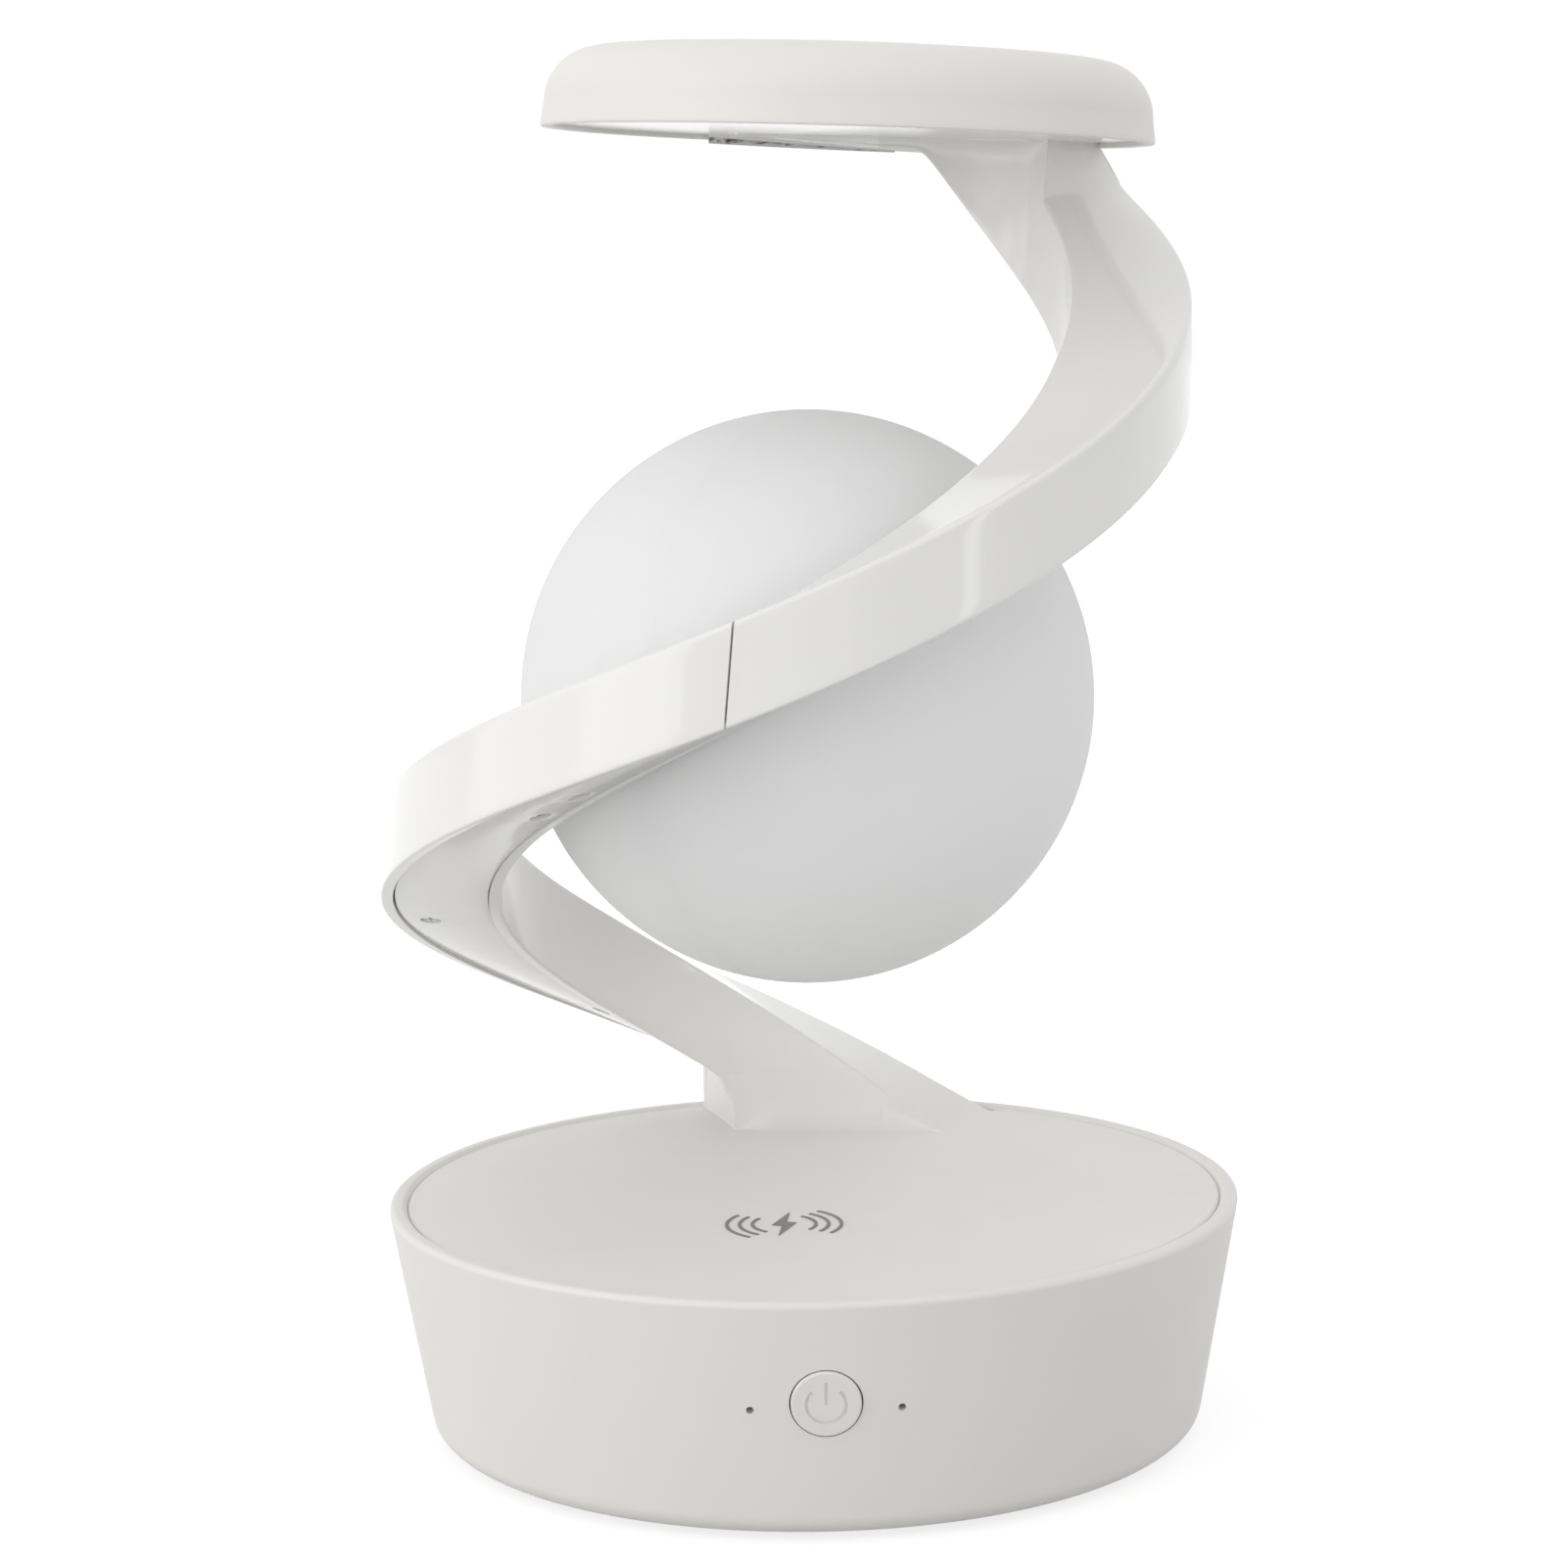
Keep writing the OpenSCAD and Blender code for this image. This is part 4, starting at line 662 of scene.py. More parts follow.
strip, given = new_tree("strip_along_path", [("Material", "NodeSocketMaterial")])
count = put(strip, "GeometryNodeAttributeDomainSize", {"Geometry": given["Geometry"]}).outputs["Point Count"]
sheet = put(strip, "GeometryNodeMeshGrid", {"Vertices X": count, "Vertices Y": 5}).outputs["Mesh"]
index = put(strip, "GeometryNodeInputIndex").outputs[0]
row = put(strip, "FunctionNodeIntegerMath", {0: index, 1: 5}, operation="DIVIDE_FLOOR").outputs[0]
column = put(strip, "FunctionNodeIntegerMath", {0: index, 1: 5}, operation="MODULO").outputs[0]
edges = []
for label in ("outer_low", "outer_high", "inner_high", "inner_low"):
    value = named(strip, label, "FLOAT_VECTOR")
    edges.append(put(strip, "GeometryNodeSampleIndex", {"Geometry": given["Geometry"], "Value": value,
                     "Index": row}, data_type="FLOAT_VECTOR").outputs[0])
pick = strip.nodes.new("GeometryNodeIndexSwitch")
pick.data_type = "VECTOR"
while len(pick.index_switch_items) < 5:
    pick.index_switch_items.new()
strip.links.new(column, pick.inputs[0])
for k, edge in enumerate(edges + edges[:1]):
    strip.links.new(edge, pick.inputs[k + 1])
bent = put(strip, "GeometryNodeSetPosition", {"Geometry": sheet, "Position": pick.outputs[0]}).outputs[0]
joined = put(strip, "GeometryNodeMergeByDistance", {"Geometry": bent, "Distance": 1e-6}).outputs[0]
close_tree(strip, joined, given["Material"])


def along_path(name, corners, material):
    """A strip through a row of four corners each: outer low, outer high, inner high, inner low."""
    mesh = bpy.data.meshes.new(name)
    mesh.from_pydata([c[0] for c in corners], [(i, i + 1) for i in range(len(corners) - 1)], [])
    for k, label in enumerate(("outer_low", "outer_high", "inner_high", "inner_low")):
        mesh.attributes.new(label, "FLOAT_VECTOR", "POINT").data.foreach_set(
            "vector", [x for c in corners for x in c[k]])
    return grow(name, mesh, strip, {"Material": material})


def soften(piece, width, material):
    """Rounds a strip's edges and shades it."""
    settle(piece, material)
    edge = piece.modifiers.new("edge", "BEVEL")
    edge.width, edge.segments, edge.limit_method, edge.angle_limit = width * MM, 2, "ANGLE", math.radians(50)
    return settle(applied(piece), material)


upright = []
for a in [FOOT_AZ - 2, FOOT_AZ - 1] + [a for a in foot_steps if a < COVER_FROM - 0.1]:
    ro = radii(max(a, FOOT_AZ))[0]
    outer, inner = strip_edges(max(a, FOOT_AZ), COVER_INSET)
    bent = ease(FOOT_AZ, COVER_FROM, a)
    outer_r, inner_r = ro - 0.3 + (outer[0] - ro + 0.3) * bent, inner[0] - 0.4
    outer_z, inner_z = outer[1] - (COVER_INSET + 0.03) * (1 - bent), inner[1]
    if a < FOOT_AZ:
        outer_z = inner_z = PLATE_TOP + (-0.6 if a < FOOT_AZ - 1.5 else 0.4)
    a = max(a, FOOT_AZ)
    front, back, deep = a - 0.03 * (1 - bent), a - 0.35 * (1 - bent), a - 2.2 * (1 - bent)
    lift = 2.2 if a > FOOT_AZ else 0
    upright.append([at_azimuth(front, outer_r, outer_z), at_azimuth(deep, outer_r, outer_z + lift),
                    at_azimuth(deep, inner_r, inner_z + lift), at_azimuth(back, inner_r, inner_z)])
foot_wall = along_path("upright_wall_over_plate", upright, gloss_white)
settle(foot_wall, gloss_white)
fit(foot_wall, "lamp", "arm_white", "lower_arm")

# Lower arm cover
# A thin moulded strip that closes the channel from below. It lies a little inside the rims of the walls, with
# a fine gap on both sides, and four screws hold it in sunk seats.
LOWER_SCREWS = ((-139, True), (-96, False), (-48, True), (-39.4, True))
UPPER_SCREWS = ((16, False), (60, True), (100, False))
SCREW_SEAT, SEAT_R_COVER, BORE_R_COVER, SCREW_IN, SCREW_OUT = 0.7, 1.9, 1.2, 4.3, 5.1


def underside_frame(a, inner_side):
    """The place of a screw on the arm's underside: on the strip's inner face, with Z into the arm."""
    ro, rt, ri, rl = radii(a)
    low_o, low_i = lower_edges(a)
    r = rl + ARM_WALL + SCREW_IN if inner_side else ro - ARM_WALL - SCREW_OUT
    slope = (low_o - low_i) / (ro - rl)
    z = low_i + slope * (r - rl) + COVER_INSET + COVER_T
    pitch = math.atan((along(TOP, a + 1) - along(TOP, a - 1)) / (2 * r * math.pi / 180))
    return (Matrix.Translation(at_azimuth(a, r, z)) @ Matrix.Rotation(math.radians(a + ARM_TURN), 4, "Z")
            @ Matrix.Rotation(-pitch, 4, "Y") @ Matrix.Rotation(-math.atan(slope), 4, "X"))


def arm_cover(name, azimuths, screws):
    rows = []
    for a in azimuths:
        a += seam_slant(a, 0.05)
        low, high = strip_edges(a, COVER_INSET), strip_edges(a, COVER_INSET + COVER_T)
        rows.append([at_azimuth(a, high[0][0], low[0][1]), at_azimuth(a, *high[0]),
                     at_azimuth(a, *high[1]), at_azimuth(a, high[1][0], low[1][1])])
    cover = soften(along_path(name, rows, gloss_white), 0.2, gloss_white)
    cut(cover, [(rod(SEAT_R_COVER, -9, -SCREW_SEAT, 48), underside_frame(*s)) for s in screws])
    cut(cover, [(rod(BORE_R_COVER, -4, 3, 32), underside_frame(*s)) for s in screws])
    return settle(cover, gloss_white)


lower_run = [a for a in foot_steps if a > COVER_FROM] + stations(FOOT_AZ + 7, SEAM_AZ, 1.0)
lower_cover = arm_cover("lower_arm_strip", lower_run, LOWER_SCREWS)
fit(lower_cover, "lamp", "arm_white", "lower_arm_cover")

# Spiral arm, upper half
# The other half of the glossy channel. It climbs from the butt seam round the right of the globe, bends up into
# an upright face under the head and runs out into the underside of the head's flange with soft fillets.
post_steps = [POST_AZ - s for s in (6.5, 5.7, 5, 4.4, 3.8, 3.2, 2.6, 2.1, 1.7, 1.35, 1.05, 0.8, 0.6, 0.42,
                                    0.28, 0.16, 0.07, 0.02, 0)]
upper_arm = swept("upper_arm_channel", rings_at(stations(SEAM_AZ + SEAM_TURN, POST_AZ - 7, 1.0) + post_steps)
                  + rings_at(stations(POST_AZ + 0.02, 122, 0.6) + stations(123, RIDGE_END, 1.0), "post"))
settle(upper_arm, gloss_white)
fit(upper_arm, "lamp", "arm_white", "upper_arm")

# Head flange
# The round plate under the head, one glossy white moulding with the upper half of the arm. It closes the head
# from below, and a ring on its top centres the cap.
HEAD_FRAME = (Matrix.Rotation(math.radians(ARM_TURN), 4, "Z") @ shift(HEAD_X, 0, HEAD_Z)
              @ Matrix.Rotation(HEAD_TILT, 4, "Y"))
UPSTAND_R, UPSTAND_H = 47.3, 2.8
flange_top = FLANGE_LOW + FLANGE_T
upstand_top = flange_top + UPSTAND_H
flange_line = rounded([(0, FLANGE_LOW), (FLANGE_R, FLANGE_LOW, 0.6), (FLANGE_R, flange_top, 0.3),
                       (UPSTAND_R, flange_top), (UPSTAND_R, upstand_top, 0.3),
                       (UPSTAND_R - 2, upstand_top, 0.3), (UPSTAND_R - 2, flange_top), (0, flange_top)], 5, False)
flange = turn("head_flange", ruled(flange_line, 4.0, 0.3, False), 256, gloss_white, False)
flange.data.transform(HEAD_FRAME)
settle(flange, gloss_white)
fit(flange, "lamp", "arm_white", "upper_arm")

# Upper arm cover
# The strip that closes the upper half of the channel from below, moulded in the same glossy white. As the
# lower one does, it lies a little inside the rims, and three screws in sunk seats hold it.
upper_run = stations(SEAM_AZ + SEAM_TURN, POST_AZ, 1.0) + stations(POST_AZ + 1, COVER_TO, 1.0)
upper_cover = arm_cover("upper_arm_strip", upper_run, UPPER_SCREWS)
fit(upper_cover, "lamp", "arm_white", "upper_arm_cover")

# Screws
# Plain steel pan-head screws with a cross recess: larger ones in the case, small ones in the covers and
# boards. Each kind is one turned screw, repeated on its places.


def steel_skin(tree, place):
    marks = speckle(tree, place, 2400.0, 3.0)
    colour = tint(tree, marks, (0.66, 0.665, 0.675), (0.76, 0.765, 0.775))
    return skin(tree, colour, span(tree, marks, 0.38, 0.52), relief(tree, marks, 0.3, 0.00001), Metallic=1.0)


screw_steel = finish_with("screw_steel", steel_skin)
repeat, given = new_tree("screw_on_places", [("Screw", "NodeSocketObject"),
                                             ("Material", "NodeSocketMaterial")])
pattern = put(repeat, "GeometryNodeObjectInfo", {"Object": given["Screw"]}).outputs["Geometry"]
turn_of = named(repeat, "turn", "QUATERNION")
spread = put(repeat, "GeometryNodeInstanceOnPoints", {"Points": given["Geometry"], "Instance": pattern,
             "Rotation": turn_of}).outputs[0]
close_tree(repeat, spread, given["Material"])


def cross_bit(head_r, head_t):
    """A cutting tool: the tip of a cross-point driver, in millimetres."""
    shape = bmesh.new()
    for t in (0, 90):
        size = Matrix.Diagonal((head_r * 1.2 * MM, head_r * 0.26 * MM, head_t * MM, 1))
        place = Matrix.Rotation(math.radians(t), 4, "Z") @ shift(0, 0, -head_t)
        bmesh.ops.create_cube(shape, size=1, matrix=place @ size)
    return shape


def screws(name, places, shank_r, length, head_r, head_t):
    head = [(0, -head_t), (head_r * 0.75, -head_t, 0.4 * head_t), (head_r, -0.45 * head_t, 0.15),
            (head_r, 0, 0.05)]
    shank = [(shank_r, 0), (shank_r, length - shank_r), (0.3, length), (0, length)]
    line = ruled(rounded(head + shank, 4, False), 2.0, 0.15, False)
    screw = turn("screw_pattern", line, 40, screw_steel, False)
    settle(cut(screw, [(cross_bit(head_r, head_t), Matrix.Identity(4))], True), screw_steel)
    mesh = bpy.data.meshes.new(name)
    mesh.from_pydata([place.translation for place in places], [], [])
    turns = mesh.attributes.new("turn", "QUATERNION", "POINT")
    for item, place in zip(turns.data, places):
        item.value = place.to_quaternion()
    piece = grow(name, mesh, repeat, {"Screw": screw, "Material": screw_steel})
    bpy.data.objects.remove(screw)
    return settle(piece, screw_steel)


def ring_of(count, r, z, first=45):
    return [Matrix.Rotation(math.radians(first + 360 * i / count), 4, "Z") @ shift(r, 0, z)
            for i in range(count)]


FLIP = Matrix.Rotation(math.pi, 4, "X")
case_places = ring_of(4, 54.61, 2.4) + ring_of(4, 64.05, 33.5)
case_screws = screws("case_screw_set", case_places, 1.5, 7.0, 2.6, 1.2)
fit(case_screws, "lamp", "screw_steel", "case_screws")
small_places = ([underside_frame(*s) @ shift(0, 0, -SCREW_SEAT) for s in LOWER_SCREWS + UPPER_SCREWS]
                + [shift(0, -24, 0) @ m for m in ring_of(3, 25.9, 34.4, 30)]
                + [HEAD_FRAME @ m @ FLIP for m in ring_of(3, 35.1, 8.9, 90)]
                + [shift(x, y, 13.6) @ FLIP for x in (-18, 18) for y in (17.455, 50.455)]
                + [BUTTON_FRAME @ shift(x, 0, -13.62) for x in (-17.5, 17.5)])
small_screws = screws("small_screw_set", small_places, 1.0, 6.0, 1.7, 0.8)
fit(small_screws, "lamp", "screw_steel", "small_screws")

# Charging sign
# A dark grey sign printed on the plate over the charging coil, to show where a phone goes. It is a bolt
# between two sets of three arcs, in a thin layer of matte ink.
MARK_X, MARK_Y, MARK_T = -5.2, -24.0, 0.15
ARC_R, ARC_STEP, ARC_STROKE, ARC_BACK = 6.8, 2.2, 0.6, 1.35
ARC_HALF, ARC_TURN = math.radians(42), math.radians(8)
BOLT_H, BOLT_W = 15.6, 4.2
mark_grey = moulded("mark_grey", (0.195, 0.193, 0.192), (0.225, 0.223, 0.222), 0.55, 3000.0, 0.000010)
arcs, given = new_tree("sign_arcs", [("Half Angle", "NodeSocketFloat"), ("Stroke", "NodeSocketFloat"),
                                     ("Thickness", "NodeSocketFloat"), ("Material", "NodeSocketMaterial")])
start = put(arcs, "ShaderNodeMath", {0: given["Half Angle"], 1: -1.0}, operation="MULTIPLY").outputs[0]
width = put(arcs, "ShaderNodeMath", {0: given["Half Angle"], 1: 2.0}, operation="MULTIPLY").outputs[0]
arc = put(arcs, "GeometryNodeCurveArc", {"Resolution": 40, "Radius": 1.0, "Start Angle": start,
          "Sweep Angle": width}).outputs[0]
reach, facing = named(arcs, "reach", "FLOAT"), named(arcs, "turn", "QUATERNION")
fan = put(arcs, "GeometryNodeInstanceOnPoints", {"Points": given["Geometry"], "Instance": arc,
          "Rotation": facing, "Scale": reach}).outputs[0]
lines = put(arcs, "GeometryNodeRealizeInstances", {"Geometry": fan}).outputs[0]
level = put(arcs, "GeometryNodeSetCurveNormal", {"Curve": lines}, mode="Z_UP").outputs[0]
pen = put(arcs, "GeometryNodeCurvePrimitiveQuadrilateral", {"Width": given["Stroke"],
          "Height": given["Thickness"]}).outputs[0]
stroke = put(arcs, "GeometryNodeCurveToMesh", {"Curve": level, "Profile Curve": pen,
             "Fill Caps": True}).outputs[0]
close_tree(arcs, stroke, given["Material"])
sign_points = bpy.data.meshes.new("sign_points")
facings = [ARC_TURN] * 3 + [ARC_TURN + math.pi] * 3
sign_points.from_pydata([(-ARC_BACK * math.cos(t) * MM, -ARC_BACK * math.sin(t) * MM, MARK_T / 2 * MM)
                         for t in facings], [], [])
sign_points.attributes.new("reach", "FLOAT", "POINT").data.foreach_set(
    "value", [(ARC_R + ARC_STEP * i) * MM for i in (0, 1, 2)] * 2)
for item, t in zip(sign_points.attributes.new("turn", "QUATERNION", "POINT").data, facings):
    item.value = Matrix.Rotation(t, 3, "Z").to_quaternion()
sign = grow("charging_sign", sign_points, arcs, {"Half Angle": ARC_HALF, "Stroke": ARC_STROKE * MM,
                                                 "Thickness": MARK_T * MM, "Material": mark_grey})
shape = bmesh.new()
shape.from_mesh(sign.data)
half_bolt = [(0.23 * BOLT_W, BOLT_H / 2), (-BOLT_W / 2, -0.045 * BOLT_H), (-0.1 * BOLT_W, -0.077 * BOLT_H)]
corners = half_bolt + [(-x, -y) for x, y in half_bolt]
side = [[shape.verts.new((x * MM, y * MM, z * MM)) for x, y in corners] for z in (0, MARK_T)]
shape.faces.new(side[0])
shape.faces.new(side[1])
for k in range(6):
    shape.faces.new((side[0][k], side[0][(k + 1) % 6], side[1][(k + 1) % 6], side[1][k]))
shape.to_mesh(sign.data)
shape.free()
sign.data.transform(Matrix.Rotation(math.radians(ARM_TURN), 4, "Z") @ shift(MARK_X, MARK_Y, PLATE_TOP))
settle(sign, mark_grey)
fit(sign, "lamp", "mark_grey", "charge_mark")

# Globe
# Two half shells of opal plastic, pressed together over a centring lip. The joint shows as a faint upright
# line, and a threaded neck holds the globe against the arm.
GLOBE_R, GLOBE_WALL, GLOBE_X, GLOBE_Z, NECK_AZ = 50.0, 2.0, 0.5, 129.96, -33.0
NECK_FRAME = (Matrix.Rotation(math.radians(ARM_TURN), 4, "Z") @ shift(GLOBE_X, 0, GLOBE_Z)
              @ Matrix.Rotation(math.radians(NECK_AZ), 4, "Z") @ Matrix.Rotation(math.pi / 2, 4, "X"))


def opal_skin(tree, place):
    colour = tint(tree, speckle(tree, place, 45.0, 3.0), (0.965, 0.967, 0.969), (0.980, 0.982, 0.984))
    frost = speckle(tree, place, 3200.0)
    shell = skin(tree, colour, span(tree, frost, 0.44, 0.58), relief(tree, frost, 0.4, 0.00001))
    through = put(tree, "ShaderNodeBsdfTranslucent", {"Color": (0.99, 0.99, 0.99, 1)})
    return put(tree, "ShaderNodeMixShader", {0: 0.42, 1: shell.outputs[0], 2: through.outputs[0]})


opal = finish_with("opal", opal_skin)
for side, name, node in ((1, "globe_shell_right", "globe_right"), (-1, "globe_shell_left", "globe_left")):
    groove = math.degrees(0.12 / GLOBE_R)
    line = (arc_points((0, 0), GLOBE_R, 90, groove, 60) + [(GLOBE_R - 0.004, 0.05), (GLOBE_R - 0.02, 0.006)]
            + arc_points((0, 0), GLOBE_R - GLOBE_WALL, 0.007, 90, 40))
    half = turn(name, line, 240, opal, False)
    half.data.transform(NECK_FRAME @ Matrix.Rotation(math.radians(90 * side), 4, "Y"))
    settle(half, opal)
    cut(half, [(rod(4.1, 40, 60, 48), NECK_FRAME)])
    settle(half, opal)
    fit(half, "lamp", "opal", node)

# Head cap
# A flat domed cap of satin white plastic over the head's lamp. Its thin rim hangs a little outside the
# flange, which leaves a dark line of shadow between the two.
CAP_R, CAP_DRAW, CAP_SHOULDER, CAP_CROWN, CAP_EDGE, CAP_WALL = 52.6, 0.6, 13.6, 1.5, 9.4, 2.0


def cap_side(r, h, edge, shoulder, steps):
    """Half section of the cap from its rim to its middle: wall, rounded edge and crown."""
    centre = (r - CAP_DRAW - edge, shoulder - edge)
    crown = [(centre[0] * t, h - (h - shoulder) * t * t) for t in [1 - (k + 1) / 24 for k in range(24)]]
    wall = [(r, 0)] + [(r - CAP_DRAW * t, centre[1] * t) for t in (0.25, 0.5, 0.75)]
    return wall + arc_points(centre, edge, 0, 87, steps) + crown


outside = cap_side(CAP_R, CAP_SHOULDER + CAP_CROWN, CAP_EDGE, CAP_SHOULDER, 28)
CAP_IN = CAP_R - CAP_WALL
inside = cap_side(CAP_IN, CAP_SHOULDER + CAP_CROWN - CAP_WALL, CAP_EDGE - CAP_WALL,
                  CAP_SHOULDER - CAP_WALL, 14)
ledge = [(UPSTAND_R + 0.3, 4.9), (UPSTAND_R + 0.3, 3.3), (CAP_IN - 0.47, 3.3)]
cap_rim = rounded([(CAP_IN - 0.47, 3.3), (CAP_IN, 0, 0.35), (CAP_R, 0, 0.35), (CAP_R - 0.15, 1.05)],
                  4, False)[1:]
cap_line = (list(reversed([p for p in inside if p[1] > 5.0])) + [(CAP_IN - 0.75, 4.9)] + ledge + cap_rim
            + outside[2:])
cap = turn("head_cap_dome", [Vector(p) for p in cap_line], 288, satin_white, False)
cap.data.transform(HEAD_FRAME)
settle(cap, satin_white)
fit(cap, "lamp", "base_white", "head_cap")

# Power button
# A round white button that stands a little proud of the base wall and slides in along the wall's normal.
# An open ring with a bar, the common power sign, is sunk into its face, and a flange behind the wall keeps it
# in.
BUTTON_R, BUTTON_PROUD, STEM_R, STEM_END = 5.7, 0.4, 1.5, -7.02
STOP_R, STOP_BACK, STOP_FRONT = 6.7, -4.22, -3.02
SIGN_R, SIGN_W, SIGN_DEPTH, SIGN_GAP, SIGN_BAR = 3.2, 0.5, 0.3, 45, 3.9
button_line = rounded([(0, STEM_END), (STEM_R, STEM_END, 0.2), (STEM_R, STOP_BACK), (STOP_R, STOP_BACK, 0.2),
                       (STOP_R, STOP_FRONT, 0.2), (BUTTON_R, STOP_FRONT), (BUTTON_R, BUTTON_PROUD, 0.35),
                       (0, BUTTON_PROUD)], 5, False)
button = turn("power_button_cap", ruled(button_line, 1.5, 0.2, False), 128, satin_white, False)
settle(button, satin_white)
SIGN_IN, SIGN_OUT = SIGN_R - SIGN_W / 2, SIGN_R + SIGN_W / 2
sign_floor = BUTTON_PROUD - SIGN_DEPTH
sign_tool = bmesh.new()
sweep_steps = 72
ring_rows = []
for k in range(sweep_steps + 1):
    t = math.radians(90 + SIGN_GAP + (360 - 2 * SIGN_GAP) * k / sweep_steps)
    corners = (SIGN_IN, sign_floor), (SIGN_OUT, sign_floor), (SIGN_OUT, 1.0), (SIGN_IN, 1.0)
    ring_rows.append([sign_tool.verts.new((r * math.cos(t) * MM, r * math.sin(t) * MM, z * MM))
                      for r, z in corners])
for a, b in zip(ring_rows, ring_rows[1:]):
    for k in range(4):
        sign_tool.faces.new((a[k], a[(k + 1) % 4], b[(k + 1) % 4], b[k]))
sign_tool.faces.new(ring_rows[0])
sign_tool.faces.new(list(reversed(ring_rows[-1])))
bmesh.ops.recalc_face_normals(sign_tool, faces=sign_tool.faces)
bar_tool = bmesh.new()
bmesh.ops.create_cube(bar_tool, size=1, matrix=shift(0, SIGN_BAR / 2, sign_floor + 0.5)
                      @ Matrix.Diagonal((SIGN_W * MM, SIGN_BAR * MM, 1.0 * MM, 1)))
cut(button, [(sign_tool, Matrix.Identity(4)), (bar_tool, Matrix.Identity(4))])
button.data.transform(BUTTON_FRAME)
settle(button, satin_white)
fit(button, "button", "base_white", "power_button")

# Power inlet
# A folded steel socket at the back of the base, soldered to the rear edge of the main board. A tongue of dark
# plastic stands in its middle, and a wider recess in the wall takes the plug's grip.
INLET_FRONT, INLET_D, INLET_SKIN = 67.455, 7.4, 0.35
dark_plastic = moulded("dark_plastic", (0.016, 0.016, 0.017), (0.026, 0.026, 0.027), 0.42, 1800.0, 0.000012)
INLET_FLOOR, TONGUE_W, TONGUE_T = 1.2, 6.2, 0.7
inlet_back = INLET_FRONT - INLET_D
socket = worked("power_inlet_shell", slot_rod(INLET_W, INLET_H, inlet_back, INLET_FRONT), inlet_place)
hollow = slot_rod(INLET_W - 2 * INLET_SKIN, INLET_H - 2 * INLET_SKIN, inlet_back + INLET_FLOOR,
                  INLET_FRONT + 2)
cut(socket, [(hollow, inlet_place)])
settle(socket, screw_steel)
fit(socket, "lamp", "screw_steel", "usb_socket")
tongue_bar = slot_rod(TONGUE_W, TONGUE_T, inlet_back + 1.0, INLET_FRONT - 0.7)
tongue = worked("power_inlet_tongue", tongue_bar, inlet_place)
settle(tongue, dark_plastic)
fit(tongue, "lamp", "dark_plastic", "usb_socket")

# Pieces inside and below
# What the case, arm, globe and head hide: boards, light chips, coil, switch, wiring and the bottom cover.
# Their shapes come from the lamp's own solids, and each gets the finish of its real material.
plain_white = moulded("plain_white", (0.700, 0.695, 0.670), (0.740, 0.735, 0.715), 0.50, 1500.0, 0.000015)
chip_yellow = moulded("chip_yellow", (0.80, 0.58, 0.12), (0.88, 0.68, 0.20), 0.25, 2500.0, 0.000010)
wire_sleeve = moulded("wire_sleeve", (0.018, 0.018, 0.019), (0.030, 0.030, 0.032), 0.58, 1200.0, 0.000030)


def board_skin(tree, place):
    weave = put(tree, "ShaderNodeTexWave", {"Vector": place, "Scale": 900.0, "Distortion": 2.0,
                "Detail": 2.0}).outputs["Fac"]
    patch = put(tree, "ShaderNodeTexVoronoi", {"Vector": place, "Scale": 160.0}).outputs["Distance"]
    mixed = put(tree, "ShaderNodeMath", {0: weave, 1: patch}, operation="MULTIPLY").outputs[0]
    colour = tint(tree, mixed, (0.010, 0.085, 0.038), (0.022, 0.130, 0.060))
    return skin(tree, colour, 0.35, relief(tree, mixed, 0.3, 0.00003))


def copper_skin(tree, place):
    centred = put(tree, "ShaderNodeMapping", {"Vector": place, "Location": (0, 0.024, 0)}).outputs[0]
    turns = put(tree, "ShaderNodeTexWave", {"Vector": centred, "Scale": 300.0, "Distortion": 0.0},
                wave_type="RINGS", rings_direction="Z").outputs["Fac"]
    colour = tint(tree, turns, (0.20, 0.055, 0.018), (0.62, 0.25, 0.10))
    return skin(tree, colour, span(tree, turns, 0.45, 0.28), relief(tree, turns, 0.6, 0.0001), Metallic=1.0)


board_green = finish_with("board_green", board_skin)
copper_wire = finish_with("copper_wire", copper_skin)
for material, names in (
        (satin_white, ("bottom_cover",)), (opal, ("globe_spacer",)),
        (screw_steel, ("globe_neck", "globe_neck_nuts")),
        (plain_white, ("joint_tongue", "globe_lamp_holder", "coil_tray", "switch_plunger")),
        (board_green, ("globe_lamp_board", "head_board", "main_board", "switch_board")),
        (chip_yellow, ("globe_leds", "head_leds")), (copper_wire, ("charge_coil", "switch_dome")),
        (dark_plastic, ("coil_shield", "switch_body", "indicator_led", "microphone")),
        (wire_sleeve, ("arm_harness",))):
    for name in names:
        for holder in cad[name].material_slots:
            holder.material = material

# Studio
# A plain white floor that keeps the lamp's shadow, an even white surround, and soft lights: broad ones from
# the left, low ones from the front and a narrow one from the right. The camera looks from the front, a little
# from above.
IMAGE = 1601
EYE, YAW, PITCH, ROLL, FOCAL = (-13.61, -655.77, 206.2), 0.851, 7.951, 1.049, 3856.1


def seen_directly(tree):
    """One where a surface is looked at, also in a reflection or through glass, and zero elsewhere."""
    path = put(tree, "ShaderNodeLightPath").outputs
    seen = path["Is Camera Ray"]
    for ray in ("Is Glossy Ray", "Is Transmission Ray"):
        seen = put(tree, "ShaderNodeMath", {0: seen, 1: path[ray]}, operation="MAXIMUM").outputs[0]
    return seen


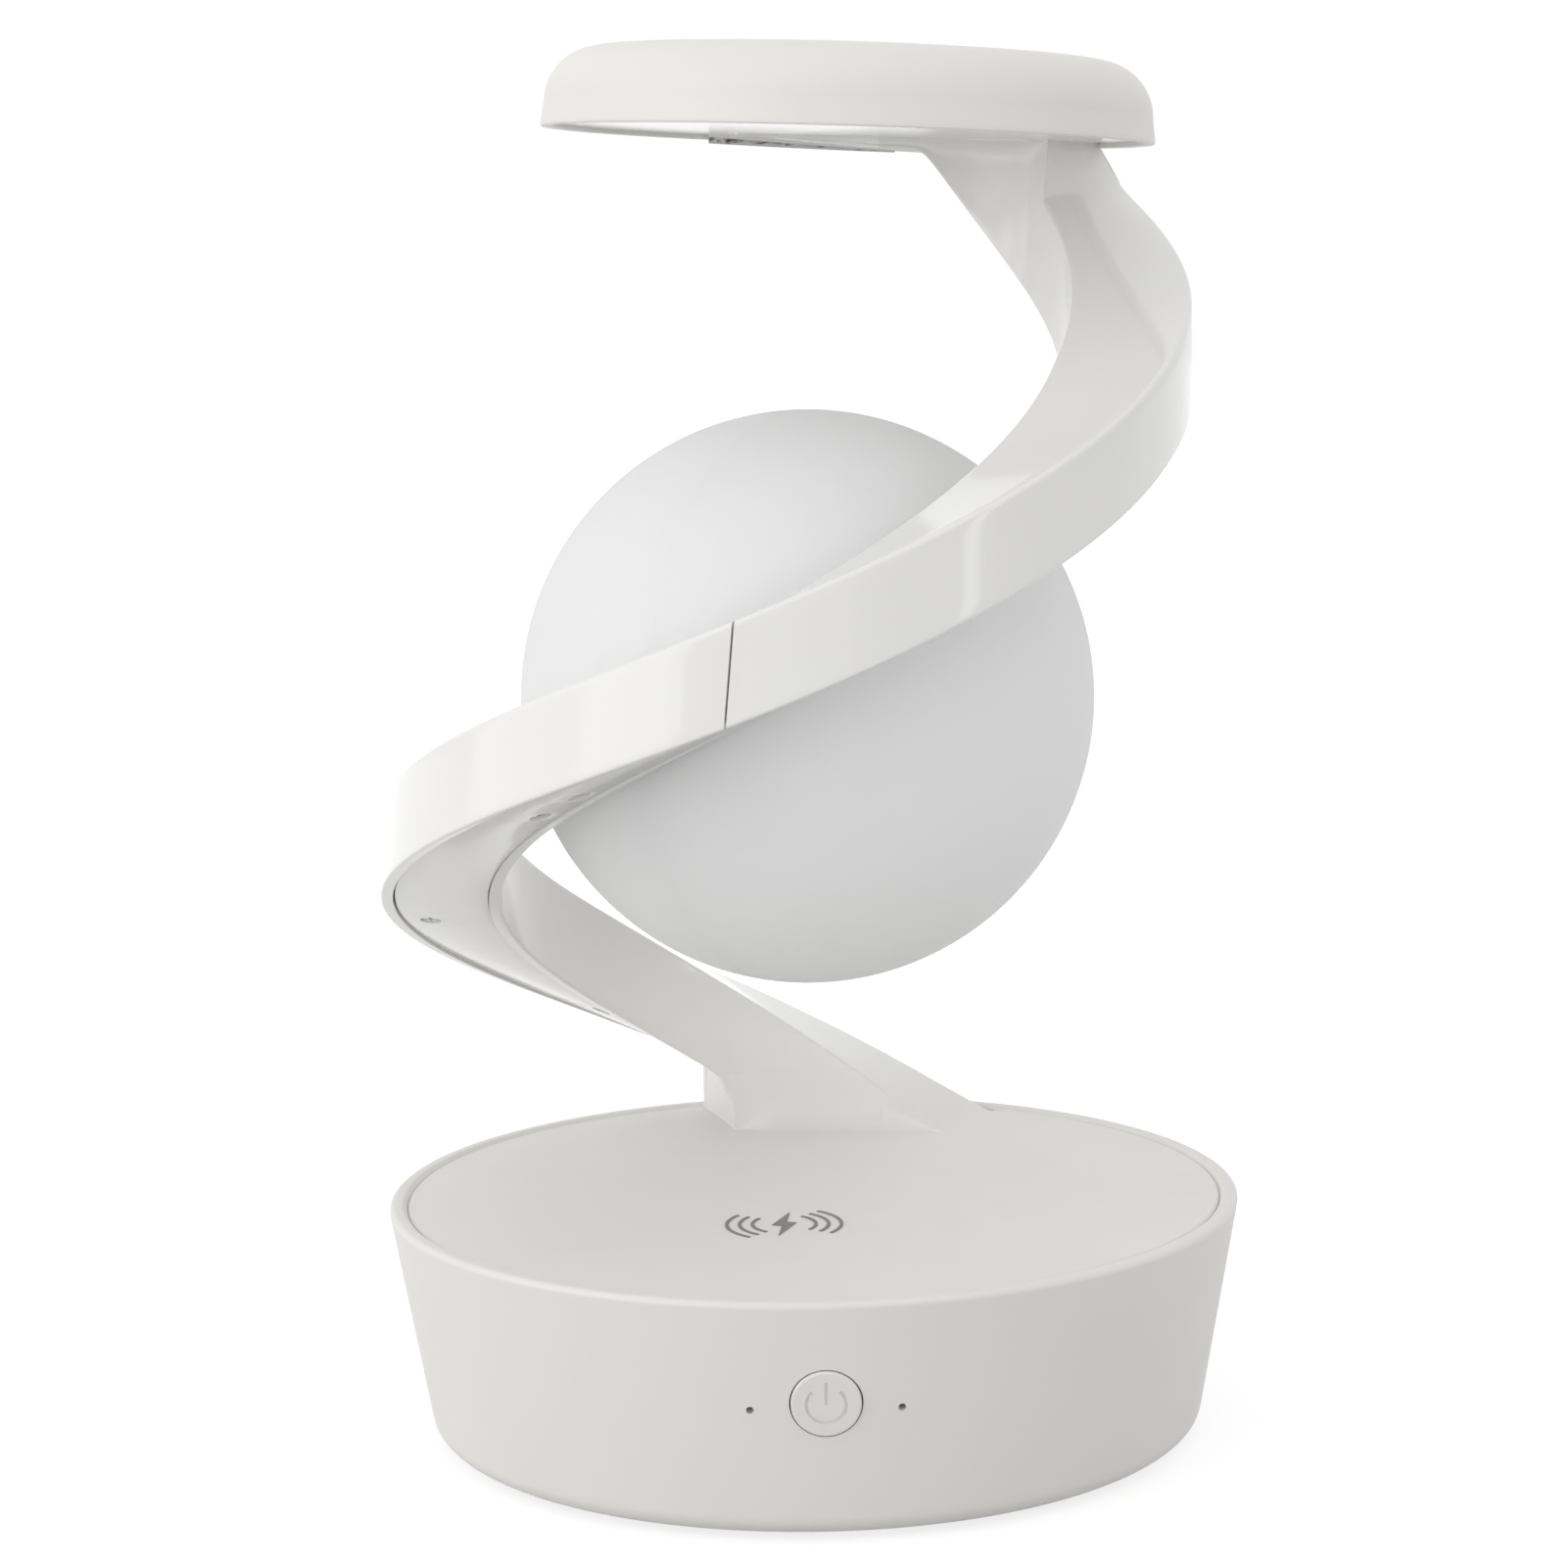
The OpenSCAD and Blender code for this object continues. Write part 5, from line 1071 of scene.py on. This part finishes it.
def floor_skin(tree, place):
    paper = tint(tree, speckle(tree, place, 6.0), (0.54, 0.54, 0.54), (0.56, 0.56, 0.56))
    light = put(tree, "ShaderNodeBsdfDiffuse", {"Color": paper})
    shade = put(tree, "ShaderNodeBsdfDiffuse", {"Color": (0.30, 0.30, 0.30, 1)})
    away = put(tree, "ShaderNodeVectorMath", {0: place}, operation="LENGTH").outputs["Value"]
    bright = span(tree, away, 0.78, 1.0, 0.10, 0.34, True)
    glow = put(tree, "ShaderNodeEmission", {"Color": (1, 1, 1, 1), "Strength": bright})
    seen = put(tree, "ShaderNodeAddShader", {0: shade.outputs[0], 1: glow.outputs[0]})
    return put(tree, "ShaderNodeMixShader", {0: seen_directly(tree), 1: light.outputs[0], 2: seen.outputs[0]})


floor_mesh = bpy.data.meshes.new("floor")
floor_mesh.from_pydata([(x, y, -0.0001) for x, y in ((-6, -6), (6, -6), (6, 6), (-6, 6))], [], [(0, 1, 2, 3)])
floor = stand("floor", floor_mesh)
floor_mesh.materials.append(finish_with("white_floor", floor_skin))

world = bpy.data.worlds.new("studio")
world.use_nodes = True
sky = world.node_tree
sky.nodes.clear()
around, backdrop = [put(sky, "ShaderNodeBackground", {"Color": (1, 1, 1, 1), "Strength": strength}).outputs[0]
                    for strength in (0.83, 1.0)]
either = put(sky, "ShaderNodeMixShader", {0: seen_directly(sky), 1: around, 2: backdrop})
put(sky, "ShaderNodeOutputWorld", {"Surface": either.outputs[0]})
bpy.context.scene.world = world


def softbox(name, place, target, width, height, power, colour):
    data = bpy.data.lights.new(name, "AREA")
    data.shape, data.size, data.size_y, data.energy, data.color = "RECTANGLE", width, height, power, colour
    lamp = stand(name, data)
    lamp.location = place
    lamp.rotation_euler = (Vector(target) - Vector(place)).to_track_quat("-Z", "Y").to_euler()


WARM, NEUTRAL = (1.0, 0.995, 0.985), (1.0, 1.0, 1.0)
softbox("key", (-1.0, -0.75, 0.75), (0, 0, 0.12), 0.9, 0.9, 2.7, WARM)
softbox("side", (-1.25, -0.25, 0.25), (0, 0, 0.12), 0.9, 0.9, 2.2, WARM)
softbox("low_side", (-0.95, -0.95, 0.12), (0, 0, 0.12), 0.7, 0.5, 1.9, WARM)
softbox("low_front", (0, -1.35, 0.12), (0, 0, 0.12), 0.7, 0.5, 0.3, WARM)
softbox("strip", (0.88, -0.79, 0.36), (0, 0, 0.15), 0.10, 0.9, 0.7, NEUTRAL)

yaw, pitch, roll = math.radians(YAW), math.radians(PITCH), math.radians(ROLL)
ahead = Vector((math.sin(yaw) * math.cos(pitch), math.cos(yaw) * math.cos(pitch), -math.sin(pitch)))
right = Vector((math.cos(yaw), -math.sin(yaw), 0))
down = ahead.cross(right)
image_x = right * math.cos(roll) + down * math.sin(roll)
image_y = down * math.cos(roll) - right * math.sin(roll)
camera_data = bpy.data.cameras.new("camera")
camera_data.sensor_width, camera_data.lens = 36.0, FOCAL * 36.0 / IMAGE
camera_data.clip_start, camera_data.clip_end = 0.01, 50.0
camera = stand("camera", camera_data)
turned_to = Matrix((image_x, -image_y, -ahead)).transposed().to_4x4()
camera.matrix_world = shift(*EYE) @ turned_to
bpy.context.scene.camera = camera
bpy.context.scene.view_settings.view_transform = "Standard"
